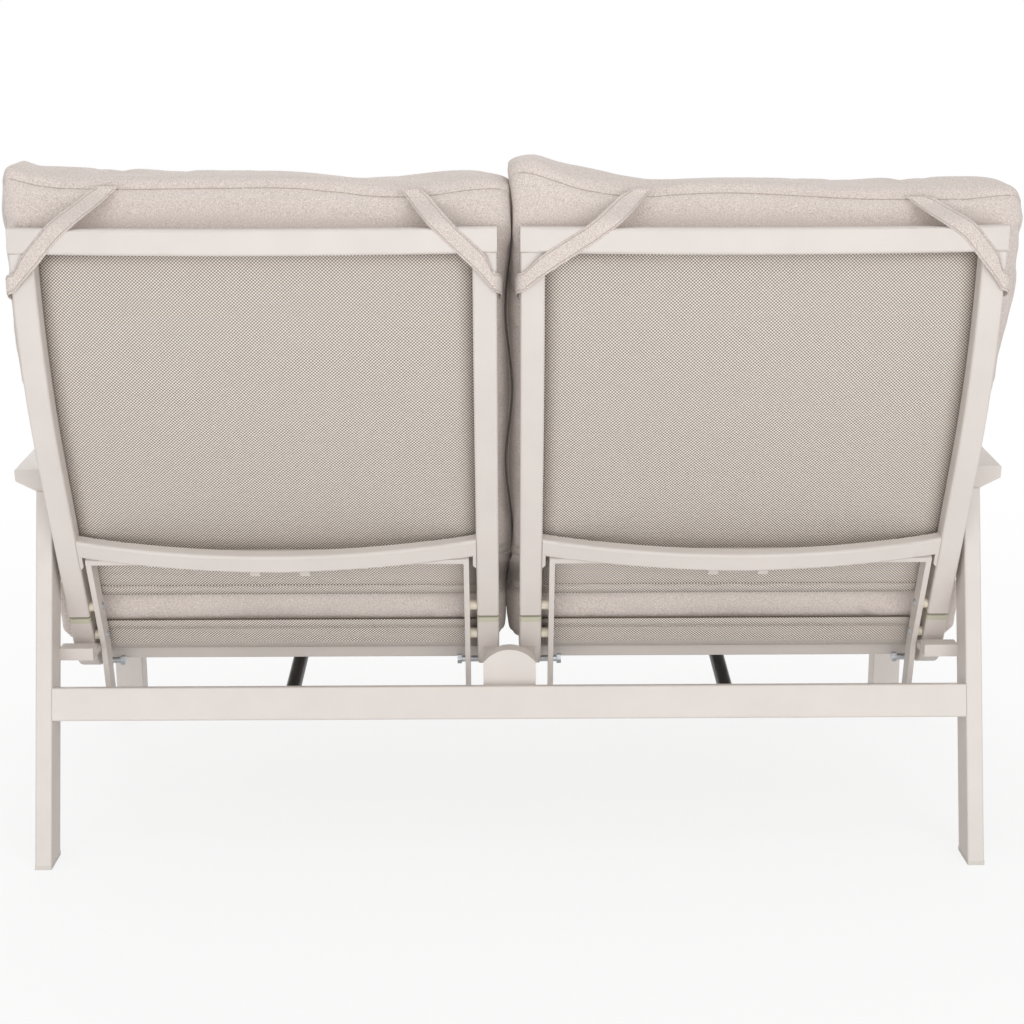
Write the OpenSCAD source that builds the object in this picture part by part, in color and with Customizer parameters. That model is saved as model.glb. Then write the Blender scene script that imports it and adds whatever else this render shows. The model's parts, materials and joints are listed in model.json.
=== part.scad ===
// Two-seat lounge sofa with reclining backs, gas springs and loose cushions.
// Front faces -Y, +X is the sitter's left, +Z is up, the floor is z = 0.

/* [Placing] */
// Shift that puts the origin at the middle of the footprint
home_shift = 326.6; // [250:0.1:400]
// How far cuts run past the faces they go through
overrun = 2; // [1:0.5:5]

/* [Rear legs] */
// Outer face of the legs beyond the back frames' outer side
leg_reach = 32; // [20:1:60]
// Width of a rear leg
leg_wide = 25; // [20:1:40]
// Depth of a rear leg across its rake
leg_deep = 50; // [30:1:70]
// Rake of the rear legs
leg_rake = 15.66; // [0:0.1:25]
// Rear face of the rear leg at the floor
leg_foot_y = 1.65; // [-20:0.05:20]
// Corner radius of the leg tubes
leg_round = 3; // [1:0.5:6]
// Height of the foot glides
glide_high = 6; // [3:1:15]

/* [Front legs] */
// Inner face of the front legs beyond the back frames' outer side
front_gap = 3; // [1:0.5:10]
// Width of a front leg
front_wide = 50; // [30:1:70]
// Depth of a front leg
front_deep = 40; // [25:1:60]
// Rake of the front legs
front_rake = 2.35; // [0:0.05:10]
// Front legs' rear face at the floor behind the seat rails' front end
front_set = 36.2; // [20:0.1:80]

/* [Armrests] */
// Gap between an armrest and the back frame's outer side
arm_gap = 2; // [1:0.5:10]
// Width of an armrest
arm_wide = 60; // [40:1:90]
// Thickness of an armrest
arm_thick = 35; // [20:1:50]
// Height of the armrest's upright outer edge
arm_edge = 19; // [8:1:30]
// Rise of the armrests towards the front
arm_rise = 5; // [0:0.1:12]
// Rear end of the armrests
arm_rear_y = -155; // [-200:1:-100]
// Front end of the armrests ahead of the front legs' rear face
arm_over = 40.2; // [30:0.1:80]
// Underside of the armrests at the rear end
arm_under_z = 548; // [450:1:650]
// Corner radius of the armrest
arm_round = 3; // [1:0.5:8]

/* [Lower rails and supports] */
// Height of the rear rail
rail_tall = 50; // [30:1:70]
// Depth of the rear rail
rail_deep = 25; // [15:1:40]
// Top of the rear rail along its raked rear face
rail_top = 273; // [200:1:350]
// Front rail height under the seats
front_rail_tall = 46; // [30:1:70]
// Front rail depth
front_rail_deep = 25; // [15:1:40]
// Height of the stub top over the floor
stub_top_z = 307; // [250:1:360]
// Height of the stub
stub_tall = 19; // [10:1:40]
// Stub's inner end inside the back frames' outer side
stub_lap = 44; // [34:1:60]
// Stub's rear face
stub_rear_y = -125; // [-160:1:-90]
// Depth of the stub's bar
stub_deep = 25; // [15:1:50]
// Drop of the stub's front web below its bar
web_drop = 10; // [4:1:16]
// Half width of the centre post
post_half = 40; // [45:1:60]
// Depth of the centre post
post_deep = 25; // [15:1:40]
// Height of the centre post's dome
dome_top_z = 307; // [260:1:360]
// Rise of the dome from its edges to its middle
dome_rise = 19; // [5:1:40]

/* [Back frames] */
// Gap between the two back frames
frames_gap = 32; // [20:1:60]
// Outer width of a back frame
back_wide = 667; // [500:1:800]
// Width of the frame tubes
tube_wide = 34; // [24:1:45]
// Depth of the frame tubes
tube_deep = 28; // [20:1:40]
// Corner radius of the frame tubes
tube_round = 4; // [1:0.5:7]
// Rear face of a stile at its lower end
stile_foot_y = -159.9; // [-200:0.1:-120]
// Height of the stile's lower end
stile_foot_z = 346; // [300:1:400]
// Lean of the back frames at rest
back_lean = 20.5; // [10:0.5:30]
// Length of a stile's straight part
stile_straight = 271.2; // [200:0.1:350]
// Radius of a stile's upper bend
stile_bend = 1005; // [700:1:1500]
// Height of a top rail
top_rail_tall = 35; // [20:1:50]
// Bow of the top rail and the brace
frame_bow = 40; // [10:1:60]
// Height of the brace
brace_tall = 30; // [20:1:45]
// Depth of the brace
brace_deep = 20; // [12:1:24]
// Brace underside along the stile
brace_at = 113; // [80:1:160]
// Thickness of the gussets under the brace's ends
gusset_thick = 5; // [3:0.5:8]
// Height of the gussets
gusset_tall = 22; // [10:1:40]

/* [Seat frames] */
// Gap between a stile's end and the rail cap
stile_gap = 4; // [3:0.5:8]
// Thickness of a rail cap
cap_thick = 9; // [4:1:15]
// Stile end to the start of the rail's bend
rail_upright = 72.6; // [60:0.1:100]
// Outer radius of the rail's bend
rail_bend = 50; // [40:1:80]
// Angle of the rail's bend
rail_turn = 75.5; // [70:0.5:85]
// Length of the straight seat rail
rail_long = 429; // [350:1:550]
// Cross tube height
cross_tall = 22; // [14:1:26]
// Cross tube depth
cross_deep = 25; // [15:1:35]
// Cross tube distance from the bend
cross_at = 13; // [5:1:60]
// Depth of the slings below the rails' seat side
sling_sink = 0.3; // [0.2:0.1:3]
// Thickness of a sling
sling_thick = 1.2; // [0.8:0.1:3]
// Rear end of the seat sling below the stile's end
sling_rear_at = 27; // [20:1:50]
// Hem of the back sling above the stile's end
back_hem_at = 24; // [10:1:60]

/* [Pivots and straps] */
// Pivot depth from the tubes' rear face
pivot_deep = 12.5; // [10:0.5:18]
// Pivot distance below the stile's end
pivot_at = 44; // [35:1:60]
// Upper strap screw distance above the stile's end
screw_at = 12; // [8:1:40]
// Gap between a strap and the rail beside it
strap_gap = 11; // [8:0.5:20]
// Thickness of a strap
strap_thick = 8; // [4:0.5:12]
// Width of a strap
strap_wide = 28; // [20:1:40]
// Strap standing proud of the stile's rear face
strap_proud = 7; // [0:0.5:12]
// Strap bend below the stile's end
strap_bend_at = 58; // [50:1:90]
// Radius of the eye at the strap's lower end
strap_eye_r = 14.6; // [12:0.1:20]
// Angle of the strap's bend
strap_turn = 12; // [0:0.5:25]
// Length of the strap's lower arm
strap_arm = 102; // [80:1:160]
// Thickness of the strap bar
strap_bar_thick = 8; // [4:0.5:12]
// Distance of the hook tabs from the seat's middle
hook_off = 38; // [20:1:120]
// Width of a hook tab
hook_wide = 15; // [8:1:30]
// Length of a hook tab
hook_long = 31; // [10:1:45]
// Thickness of a hook tab
hook_thick = 3; // [2:0.5:6]
// Radius of the lever tube
lever_r = 10; // [8:0.5:13]
// Radius of a spacer
spacer_r = 8; // [6:0.5:12]
// Gap beside a spacer that turns against a rail
turn_gap = 0.4; // [0.3:0.1:1]
// Radius of a pivot pin or screw
pin_r = 4; // [3:0.5:6]
// Reach of a pin or screw into its tube
pin_reach = 22; // [10:1:30]
// Radius of a pin head
pin_head_r = 6.5; // [5:0.5:9]
// Height of a pin head
pin_head_high = 3; // [1.5:0.5:6]
// Running clearance of the pivots
pivot_clear = 0.08; // [0.05:0.01:0.1]
// Assembly clearance of screws in their holes
fit_clear = 0.05; // [0.02:0.01:0.1]

/* [Stop bolts] */
// Radius of a stop bolt's shank
stop_r = 5; // [4:0.5:8]
// Length of the shank that stands off the rail
stop_shank = 26; // [15:1:40]
// Height of the hexagon head
stop_head_high = 7; // [4:0.5:12]
// Corner radius of the hexagon head
stop_head_r = 8; // [6:0.5:12]
// Stop bolt's depth from the bend's centre line
stop_deep = 4.9; // [4:0.1:12]
// Stop bolt's place around the bend
stop_turn = 68.0; // [30:0.5:75]

/* [Gas springs] */
// Angle of the gas spring at rest, rising to the front
spring_rise = 8.1; // [0:0.1:20]
// Spring's front anchor behind the front legs' rear face
anchor_set = 38.2; // [31:0.1:53]
// Radius of the cylinder
spring_r = 12; // [9:0.5:15]
// Cylinder's front end from the rear eye
spring_body = 235; // [180:1:300]
// Outer radius of the rear eye
rear_eye_r = 17; // [14:0.5:20]
// Width of the rear eye
rear_eye_wide = 16; // [10:1:24]
// Clearance of the rear eye that takes up the opened pivot
open_clear = 1.6; // [1:0.1:4]
// Radius of the rod
rod_r = 5; // [4:0.5:7]
// Running clearance of the rod in its cylinder
rod_clear = 0.4; // [0.3:0.1:1]
// Length of the rod inside the cylinder at rest
rod_inside = 40; // [20:1:90]
// Stroke kept free behind the rod
rod_free = 50; // [35:1:90]
// Outer radius of the rod's eye
front_eye_r = 10; // [8:0.5:14]
// Width of the rod's eye
front_eye_wide = 12; // [8:1:20]
// Thickness of a bracket cheek
cheek_thick = 4; // [3:0.5:8]
// Half height of a bracket cheek
cheek_half = 11; // [8:1:20]
// Gap between the eye and a cheek
cheek_gap = 0.8; // [0.4:0.1:2]

/* [Cushions] */
// Gap between a cushion and what carries it
soft_gap = 0.4; // [0.3:0.1:2]
// Thickness of a seat cushion
seat_thick = 130; // [80:1:160]
// Crown of a seat cushion
seat_crown = 14; // [0:1:30]
// Inner side of a seat cushion from the sofa's middle
seat_in_x = 1.5; // [1:0.5:20]
// Seat cushion standing out beyond the back frame's outer side
seat_proud = 1.5; // [0:0.1:5]
// Seat cushion beyond the front end of the seat rails
seat_over = 25; // [0:1:60]
// Rear of the seat cushion behind the bend's start
seat_back_reach = 29; // [10:0.5:40]
// Outward bulge of the seat cushion between the legs
seat_bulge = 19; // [0:1:30]
// Distance behind the seat cushion's front edge where the bulge starts
bulge_from = 100; // [60:1:200]
// Length over which it grows
bulge_over = 80; // [40:1:160]
// Rearward drift of the seat cushion's rear face
seat_rear_lean = 12; // [0:1:25]
// Thickness of a back cushion
back_thick = 132; // [90:1:180]
// Crown of a back cushion
back_crown = 16; // [0:1:30]
// Bottom of the back cushion
back_low_z = 425; // [380:1:480]
// Top of the back cushion's middle above the top rail
back_over = 72; // [30:1:120]
// Inner side of a back cushion from the sofa's middle
back_in_x = 1.5; // [1:0.5:10]
// Back cushion inside the back frame's outer side between the armrests
back_inset = 0.5; // [0:0.1:5]
// Back cushion beyond the back frame's outer side above the armrests
back_wing = 27; // [5:0.5:40]
// Rise of the back cushion's two upper corners
ear_rise = 14; // [0:1:30]
// Dip of the back cushion's top beside its inner corner
top_dip = 8; // [0:1:20]
// Height where the back cushion starts to widen
wing_low_z = 640; // [600:1:700]
// Height over which it widens
wing_rise = 90; // [30:1:150]

/* [Corner straps] */
// Thickness of a corner strap
band_thick = 1.5; // [1:0.1:3]
// Width of a corner strap
band_wide = 24; // [15:1:40]
// Upper end of a corner strap inside the back frame's outer side
band_inset = 138.5; // [80:0.5:200]
// Corner strap's upper end above the top rail
band_over = 40; // [20:1:60]
// Middle of the corner strap's lower end below the rail's top
band_under = 80; // [50:1:120]

/* [Hidden] */
frame_colour = [0.90, 0.875, 0.845];
mesh_colour = [0.62, 0.57, 0.50];
cushion_colour = [0.80, 0.76, 0.72];
cap_colour = [0.62, 0.62, 0.54];
zinc_colour = [0.72, 0.76, 0.80];
black_colour = [0.06, 0.06, 0.065];
spacer_colour = [0.90, 0.88, 0.80];
glide_colour = [0.30, 0.30, 0.30];
smooth = 96;
fine = 48;
// Number of points along one face of a cushion section and number of its sections
face_steps = 15;
section_steps = 26;
// Fullness exponents of the cushions: low is soft and crowned, high is flat and boxy
soft_share = 4.2;
firm_share = 9;
edge_share = 7;
end_share = 0.9985;
side_fullness = 24;
// Where the back cushion's corners start to rise, and the place and sharpness of its top's dip
ear_share = 0.55;
dip_share = 0.55;
dip_sharp = 6;
// Shares of a corner strap's run where it bends
band_shares = [0.16, 0.25, 0.35, 0.5, 0.65, 0.8, 0.9, 0.96];
// Angle that two quarter turns make
quarter = 90;
seat_mid_x = (frames_gap + back_wide) / 2;
seat_left = frames_gap / 2;
side_x = seat_left + back_wide;
leg_outer_x = side_x + leg_reach;
leg_in_x = leg_outer_x - leg_wide;
front_in_x = side_x + front_gap;
arm_in_x = side_x + arm_gap;
stub_in_x = side_x - stub_lap;
seat_out_x = side_x + seat_proud;
back_out_x = side_x - back_inset;
back_wing_x = side_x + back_wing;
rail_in = back_wide / 2 - tube_wide;
brace_span = 2 * rail_in;
strap_out = rail_in - strap_gap;
band_start_off = back_wide / 2 - band_inset;
brace_r = brace_span * brace_span / (8 * frame_bow) + frame_bow / 2;
top_r = back_wide * back_wide / (8 * frame_bow) + frame_bow / 2;
post_r = post_half * post_half / (2 * dome_rise) + dome_rise / 2;
stile_top_z = stile_foot_z + stile_straight * cos(back_lean) + stile_bend * sin(back_lean);
stile_top_y = stile_foot_y + stile_straight * sin(back_lean) + stile_bend * (1 - cos(back_lean));
back_high_z = stile_top_z + back_over;
tall_z = back_high_z + back_wide;
band_start_z = stile_top_z + band_over;
band_end_z = stile_top_z - band_under;
rail_slope = back_lean + rail_turn - quarter;
rail_start_y = stile_foot_y - rail_upright * sin(back_lean) - rail_bend * cos(back_lean)
  - rail_bend * sin(rail_slope);
rail_start_z = stile_foot_z - rail_upright * cos(back_lean) + rail_bend * sin(back_lean)
  - rail_bend * cos(rail_slope);
front_foot_y = rail_start_y - rail_long * cos(rail_slope) + front_set;
arm_front_y = front_foot_y - arm_over;
seat_reach = rail_long + seat_over;
joint_y = strap_proud - strap_wide / 2;
lever_y = joint_y + strap_arm * sin(strap_turn);
lever_z = -strap_bend_at - strap_arm * cos(strap_turn);
spring_rear = [stile_foot_y + lever_z * sin(back_lean) + lever_y * cos(back_lean),
  stile_foot_z + lever_z * cos(back_lean) - lever_y * sin(back_lean)];
spring_span = (spring_rear[0] - front_foot_y - anchor_set) / cos(spring_rise);
spring_front = [spring_rear[0] - spring_span * cos(spring_rise),
  spring_rear[1] + spring_span * sin(spring_rise)];

// Height of the seat rails' underside at a given depth
function rail_under(y) = rail_start_z + (rail_start_y - y) * tan(rail_slope);
// Height of the armrests' underside at a given depth
function arm_under(y) = arm_under_z + (arm_rear_y - y) * tan(arm_rise);
// Height where a raked line that starts at a on the floor meets the armrest's underside
function meet_arm(a, rake) = (arm_under_z + (arm_rear_y - a) * tan(arm_rise)) / (1 - tan(rake) * tan(arm_rise));
// Height where a raked line meets the seat rails' underside
function meet_rail(a, rake) = (rail_start_z + (rail_start_y - a) * tan(rail_slope)) / (1 - tan(rake) * tan(rail_slope));
// Rear face of a stile at a given height
function stile_rear(z) = z < stile_foot_z + stile_straight * cos(back_lean)
  ? stile_foot_y + (z - stile_foot_z) * tan(back_lean)
  : z < stile_top_z
  ? stile_top_y - stile_bend + sqrt(stile_bend * stile_bend - (stile_top_z - z) * (stile_top_z - z))
  : stile_top_y;
// Lean of a stile at a given height
function lean_at(z) = z < stile_foot_z + stile_straight * cos(back_lean) ? back_lean
  : z < stile_top_z ? asin((stile_top_z - z) / stile_bend) : 0;
// Rear face of the top rail at a distance from the seat's middle
function rail_rear(off) = stile_top_y + frame_bow * (1 - 4 * off * off / (back_wide * back_wide));
// Soft step from 0 to 1
function ease(t) = t < 0 ? 0 : t > 1 ? 1 : t * t * (3 - 2 * t);
// Fullness of a section at a share of its half size
function full(q, e) = pow(max(0, 1 - pow(abs(q), e)), 1 / e);

module placed() { translate([0, home_shift, 0]) children(); }
module other_side() { mirror([1, 0, 0]) children(); }
// Runs a side profile (y, z) along X
module slab(x0, wide) {
  translate([x0, 0, 0]) rotate([quarter, 0, quarter]) linear_extrude(wide) children();
}
// Rectangle with round corners from 0, 0
module section(a, b, r) {
  translate([r, 0]) square([a - 2 * r, b]);
  translate([0, r]) square([a, b - 2 * r]);
  for (x = [r, a - r])
    for (y = [r, b - r])
      translate([x, y]) circle(r, $fn = fine);
}
// Frame along a stile: z up the stile, y = 0 on its rear face, z = 0 at its lower end
module along_back() {
  translate([0, stile_foot_y, stile_foot_z]) rotate([-back_lean, 0, 0]) children();
}
// Frame along a seat rail: z = 0 where the bend ends, z runs to the rear, y = 0 on the underside
module along_seat() {
  along_back() translate([0, -rail_bend, -rail_upright]) rotate([-rail_turn, 0, 0])
    translate([0, rail_bend, 0]) children();
}
// Turns a profile (radius, x) about an axis along X through an angle from the +Y side up
module turned(angle) {
  rotate([quarter, 0, quarter]) rotate_extrude(angle = angle, $fn = smooth) children();
}

// Raked leg between its glide and the armrest
module raked_leg(x0, wide, deep, foot_y, rake) {
  rear_z = meet_arm(foot_y, rake);
  front_a = foot_y - deep / cos(rake);
  front_z = meet_arm(front_a, rake);
  intersection() {
    translate([x0, foot_y, 0]) rotate([rake, 0, 0]) translate([0, -deep, -deep])
      linear_extrude(tall_z) section(wide, deep, leg_round);
    slab(x0 - overrun, wide + 2 * overrun) polygon([
      [foot_y + deep - glide_high * tan(rake), glide_high],
      [foot_y + deep - rear_z * tan(rake), arm_under(foot_y + deep - rear_z * tan(rake))],
      [front_a - deep - front_z * tan(rake), arm_under(front_a - deep - front_z * tan(rake))],
      [front_a - deep - glide_high * tan(rake), glide_high]]);
  }
}
module rear_leg() { raked_leg(leg_in_x, leg_wide, leg_deep, leg_foot_y, leg_rake); }
module front_leg() { raked_leg(front_in_x, front_wide, front_deep, front_foot_y, front_rake); }
module glide(x0, wide, deep, foot_y, rake) {
  slab(x0, wide) polygon([[foot_y, 0], [foot_y - glide_high * tan(rake), glide_high],
    [foot_y - glide_high * tan(rake) - deep / cos(rake), glide_high], [foot_y - deep / cos(rake), 0]]);
}
module armrest() {
  long = (arm_rear_y - arm_front_y) / cos(arm_rise);
  bevel = arm_wide - (leg_outer_x - arm_in_x);
  translate([arm_in_x, arm_rear_y, arm_under_z]) rotate([quarter - arm_rise, 0, 0])
    linear_extrude(long) difference() {
      section(arm_wide, arm_thick, arm_round);
      polygon([[arm_wide - bevel, 0], [arm_wide - bevel, -overrun], [arm_wide + overrun, -overrun],
        [arm_wide + overrun, arm_thick - arm_edge], [arm_wide, arm_thick - arm_edge]]);
    }
}
module stub() {
  front = [stile_rear(stub_top_z - web_drop), stile_rear(stub_top_z - stub_tall)];
  web_z = stub_top_z - web_drop;
  low_z = stub_top_z - stub_tall;
  slab(stub_in_x, leg_in_x - stub_in_x) polygon([[stub_rear_y, low_z], [stub_rear_y, stub_top_z],
    [stub_rear_y - stub_deep, stub_top_z], [stub_rear_y - stub_deep, web_z],
    [stile_foot_y + (web_z - stile_foot_z) * tan(back_lean), web_z],
    [stile_foot_y + (low_z - stile_foot_z) * tan(back_lean), low_z]]);
}
module rear_rail_shape() {
  translate([-leg_in_x, leg_foot_y, 0]) rotate([leg_rake, 0, 0])
    translate([0, -rail_deep, rail_top - rail_tall])
      rotate([quarter, 0, quarter]) linear_extrude(2 * leg_in_x) section(rail_deep, rail_tall, leg_round);
}
module front_rail_shape() {
  rear_z = meet_rail(front_foot_y, -front_rake);
  front_a = front_foot_y - front_rail_deep;
  front_z = meet_rail(front_a, -front_rake);
  low_z = rear_z - front_rail_tall;
  slab(-front_in_x, 2 * front_in_x) polygon([
    [front_foot_y + low_z * tan(front_rake), low_z], [front_foot_y + rear_z * tan(front_rake), rear_z],
    [front_a + front_z * tan(front_rake), front_z], [front_a + low_z * tan(front_rake), low_z]]);
}
module post_shape() {
  web_z = dome_top_z - dome_rise;
  low = (rail_top - rail_tall) * cos(leg_rake);
  web_low = web_z - web_drop;
  rear_a = leg_foot_y - rail_deep / cos(leg_rake);
  front_a = rear_a - post_deep / cos(leg_rake);
  intersection() {
    slab(-post_half, 2 * post_half) union() {
      polygon([[rear_a - low * tan(leg_rake), low], [rear_a - dome_top_z * tan(leg_rake), dome_top_z],
        [front_a - dome_top_z * tan(leg_rake), dome_top_z], [front_a - low * tan(leg_rake), low]]);
      polygon([[front_a - web_z * tan(leg_rake) + post_deep / 2, web_z],
        [stile_foot_y + (web_z - stile_foot_z) * tan(back_lean), web_z],
        [stile_foot_y + (web_low - stile_foot_z) * tan(back_lean), web_low],
        [front_a - web_low * tan(leg_rake) + post_deep / 2, web_low]]);
    }
    union() {
      translate([0, 0, dome_top_z - post_r]) rotate([quarter, 0, 0])
        cylinder(r = post_r, h = tall_z, center = true, $fn = smooth);
      translate([-post_half, -tall_z / 2, 0]) cube([2 * post_half, tall_z, web_z]);
    }
  }
}

// Bent seat rail whose outer side lies at x0, with the bore of its pivot
module seat_rail(x0, pin_from) {
  difference() {
    union() {
      along_back() translate([x0, -tube_deep, -rail_upright])
        linear_extrude(rail_upright - stile_gap - cap_thick) section(tube_wide, tube_deep, tube_round);
      along_back() translate([0, -rail_bend, -rail_upright]) rotate([-rail_turn, 0, 0]) turned(rail_turn)
        translate([rail_bend - tube_deep, x0]) section(tube_deep, tube_wide, tube_round);
      along_seat() translate([x0, -tube_deep, -rail_long])
        linear_extrude(rail_long) section(tube_wide, tube_deep, tube_round);
    }
    pin_hole(pin_from, -pivot_at, pin_r + pivot_clear);
  }
}
// Bore along X from a start, at a height along the stile
module pin_hole(from, at, r) {
  far = pin_reach + turn_gap + overrun / 2;
  along_back() translate([from < seat_mid_x ? from - far : from - overrun, -pivot_deep, at])
    rotate([0, quarter, 0]) cylinder(r = r, h = far + overrun, $fn = fine);
}
module rail_cap(x0) {
  along_back() translate([x0, -tube_deep, -stile_gap - cap_thick])
    linear_extrude(cap_thick) section(tube_wide, tube_deep, tube_round);
}
module stile(x0, pin_from) {
  difference() {
    union() {
      along_back() translate([x0, -tube_deep, 0])
        linear_extrude(stile_straight) section(tube_wide, tube_deep, tube_round);
      intersection() {
        along_back() translate([0, -stile_bend, stile_straight]) turned(back_lean)
          translate([stile_bend - tube_deep, x0]) section(tube_deep, tube_wide, tube_round);
        translate([x0 - overrun, -tall_z, 0])
          cube([tube_wide + 2 * overrun, 2 * tall_z, stile_top_z - top_rail_tall]);
      }
    }
    pin_hole(pin_from, screw_at, pin_r + fit_clear);
  }
}
// Bowed bar: rear face at y = 0 at its ends, trimmed to a width
module bowed(radius, deep, tall, span, round) {
  half = asin(span / 2 / radius);
  intersection() {
    translate([0, frame_bow - radius, 0]) rotate([0, 0, quarter - half - overrun])
      rotate_extrude(angle = 2 * half + 2 * overrun, $fn = 4 * smooth)
        translate([radius - deep, 0]) section(deep, tall, round);
    translate([-span / 2, -radius, -overrun]) cube([span, 2 * radius, tall + 2 * overrun]);
  }
}
module top_rail() {
  translate([seat_mid_x, stile_top_y, stile_top_z - top_rail_tall])
    bowed(top_r, tube_deep, top_rail_tall, back_wide, tube_round);
}
module brace() {
  along_back() translate([seat_mid_x, 0, brace_at])
    bowed(brace_r, brace_deep, brace_tall, brace_span, tube_round);
  for (side = [-1, 1])
    along_back() translate([seat_mid_x + side * rail_in, 0, brace_at]) rotate([quarter, 0, 0])
      linear_extrude(brace_deep) polygon([[0, brace_tall / 2], [-side * gusset_thick, brace_tall / 2],
        [-side * gusset_thick, gusset_thick - gusset_tall], [0, -gusset_tall]]);
}
module back_sling_shape() {
  near = tube_deep - sling_sink;
  x0 = seat_mid_x - rail_in;
  along_back() translate([x0, -near, back_hem_at])
    cube([brace_span, sling_thick, stile_straight - back_hem_at]);
  intersection() {
    along_back() translate([0, -stile_bend, stile_straight]) turned(back_lean)
      translate([stile_bend - near, x0]) square([sling_thick, brace_span]);
    translate([x0 - overrun, -tall_z, 0])
      cube([brace_span + 2 * overrun, 2 * tall_z, stile_top_z - top_rail_tall]);
  }
}
module seat_sling_shape() {
  near = tube_deep - sling_sink;
  x0 = seat_mid_x - rail_in;
  along_back() translate([x0, -near, -rail_upright])
    cube([brace_span, sling_thick, rail_upright - sling_rear_at]);
  along_back() translate([0, -rail_bend, -rail_upright]) rotate([-rail_turn, 0, 0]) turned(rail_turn)
    translate([rail_bend - near, x0]) square([sling_thick, brace_span]);
  along_seat() translate([x0, -near, -rail_long]) cube([brace_span, sling_thick, rail_long]);
}
module cross_tube() {
  along_seat() translate([seat_mid_x - rail_in, -cross_tall, -cross_at - cross_deep])
    rotate([quarter, 0, quarter]) linear_extrude(brace_span)
      section(cross_tall, cross_deep, tube_round / 2);
}
module front_tube() {
  along_seat() translate([seat_left, -tube_deep, -rail_long - tube_deep])
    rotate([quarter, 0, quarter]) linear_extrude(back_wide)
      section(tube_deep, tube_deep, tube_round);
}

// Strap whose lower x face is at x0
module strap(x0) {
  half = strap_wide / 2;
  shift = half * tan(strap_turn / 2);
  n = [cos(strap_turn) * half, sin(strap_turn) * half];
  difference() {
    along_back() slab(x0, strap_thick) union() {
      polygon([[joint_y - half, brace_at], [joint_y + half, brace_at],
        [joint_y + half, shift - strap_bend_at], [lever_y + n[0], lever_z + n[1]],
        [lever_y - n[0], lever_z - n[1]], [joint_y - half, -shift - strap_bend_at]]);
      translate([lever_y, lever_z]) circle(strap_eye_r, $fn = smooth);
    }
    strap_holes(x0 - overrun);
  }
}
module strap_holes(x0) {
  for (at = [-pivot_at, screw_at])
    along_back() translate([x0, -pivot_deep, at]) rotate([0, quarter, 0])
      cylinder(r = pin_r + fit_clear, h = strap_thick + 2 * overrun, $fn = fine);
}
module strap_bar_shape() {
  wide = 2 * (strap_out - strap_thick);
  along_back() translate([seat_mid_x - wide / 2, strap_proud - strap_wide, brace_at - strap_bar_thick])
    cube([wide, strap_wide, strap_bar_thick]);
  for (side = [-1, 1])
    along_back() translate([seat_mid_x + side * hook_off - hook_wide / 2,
      strap_proud - strap_wide / 2 - hook_thick / 2, brace_at - strap_bar_thick - hook_long])
      cube([hook_wide, hook_thick, hook_long]);
}
module lever_shape() {
  wide = 2 * (strap_out - strap_thick);
  translate([seat_mid_x - wide / 2, spring_rear[0], spring_rear[1]]) rotate([0, quarter, 0])
    cylinder(r = lever_r, h = wide, $fn = fine);
}
// Spacers of one strap: one against the rail, one against the stile
module spacers_of(side) {
  gap = rail_in - strap_out;
  for (at = [-pivot_at, screw_at]) {
    long = at < 0 ? gap - turn_gap : gap;
    along_back() translate([seat_mid_x + side * (strap_out + long / 2), -pivot_deep, at])
      rotate([0, quarter, 0]) difference() {
        cylinder(r = spacer_r, h = long, center = true, $fn = fine);
        cylinder(r = pin_r + fit_clear, h = long + overrun, center = true, $fn = fine);
      }
  }
}
// Pin through the strap and spacer into the tube, with a low domed head
module pins_of(side) {
  shank = rail_in - strap_out + strap_thick + pin_reach;
  dome_r = (pin_head_r * pin_head_r + pin_head_high * pin_head_high) / (2 * pin_head_high);
  for (at = [-pivot_at, screw_at])
    along_back() translate([seat_mid_x + side * (strap_out - strap_thick), -pivot_deep, at])
      rotate([0, side * quarter, 0]) {
        cylinder(r = pin_r, h = shank, $fn = fine);
        rotate_extrude($fn = fine) intersection() {
          translate([0, dome_r - pin_head_high]) circle(dome_r, $fn = smooth);
          translate([0, -pin_head_high]) square([pin_head_r, pin_head_high]);
        }
      }
}
// Stop bolt on the inner face of a rail; side is the rail's side of the seat
module stop_bolt(side) {
  reach = rail_bend - stop_deep;
  along_back() translate([seat_mid_x + side * rail_in, -rail_bend, -rail_upright])
    rotate([-stop_turn, 0, 0]) translate([0, reach, 0]) rotate([0, -side * quarter, 0]) {
      cylinder(r = stop_r, h = stop_shank, $fn = fine);
      translate([0, 0, stop_shank]) cylinder(r = stop_head_r, h = stop_head_high, $fn = 6);
    }
}

// Frame of the gas spring: x = 0 in its middle plane, z from the rear eye to the front eye
module along_spring() {
  translate([seat_mid_x, spring_rear[0], spring_rear[1]]) rotate([quarter - spring_rise, 0, 0]) children();
}
module eye_ring(r, wide, bore) {
  rotate([0, quarter, 0]) difference() {
    cylinder(r = r, h = wide, center = true, $fn = fine);
    cylinder(r = bore, h = wide + overrun, center = true, $fn = fine);
  }
}
module spring_cylinder() {
  along_spring() difference() {
    union() {
      eye_ring(rear_eye_r, rear_eye_wide, lever_r + open_clear);
      translate([0, 0, rear_eye_r - overrun])
        cylinder(r = spring_r, h = spring_body - rear_eye_r + overrun, $fn = fine);
    }
    translate([0, 0, spring_body - rod_inside - rod_free])
      cylinder(r = rod_r + rod_clear, h = rod_inside + rod_free + overrun, $fn = fine);
    rotate([0, quarter, 0])
      cylinder(r = lever_r + open_clear, h = 2 * rear_eye_wide, center = true, $fn = fine);
  }
}
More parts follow.
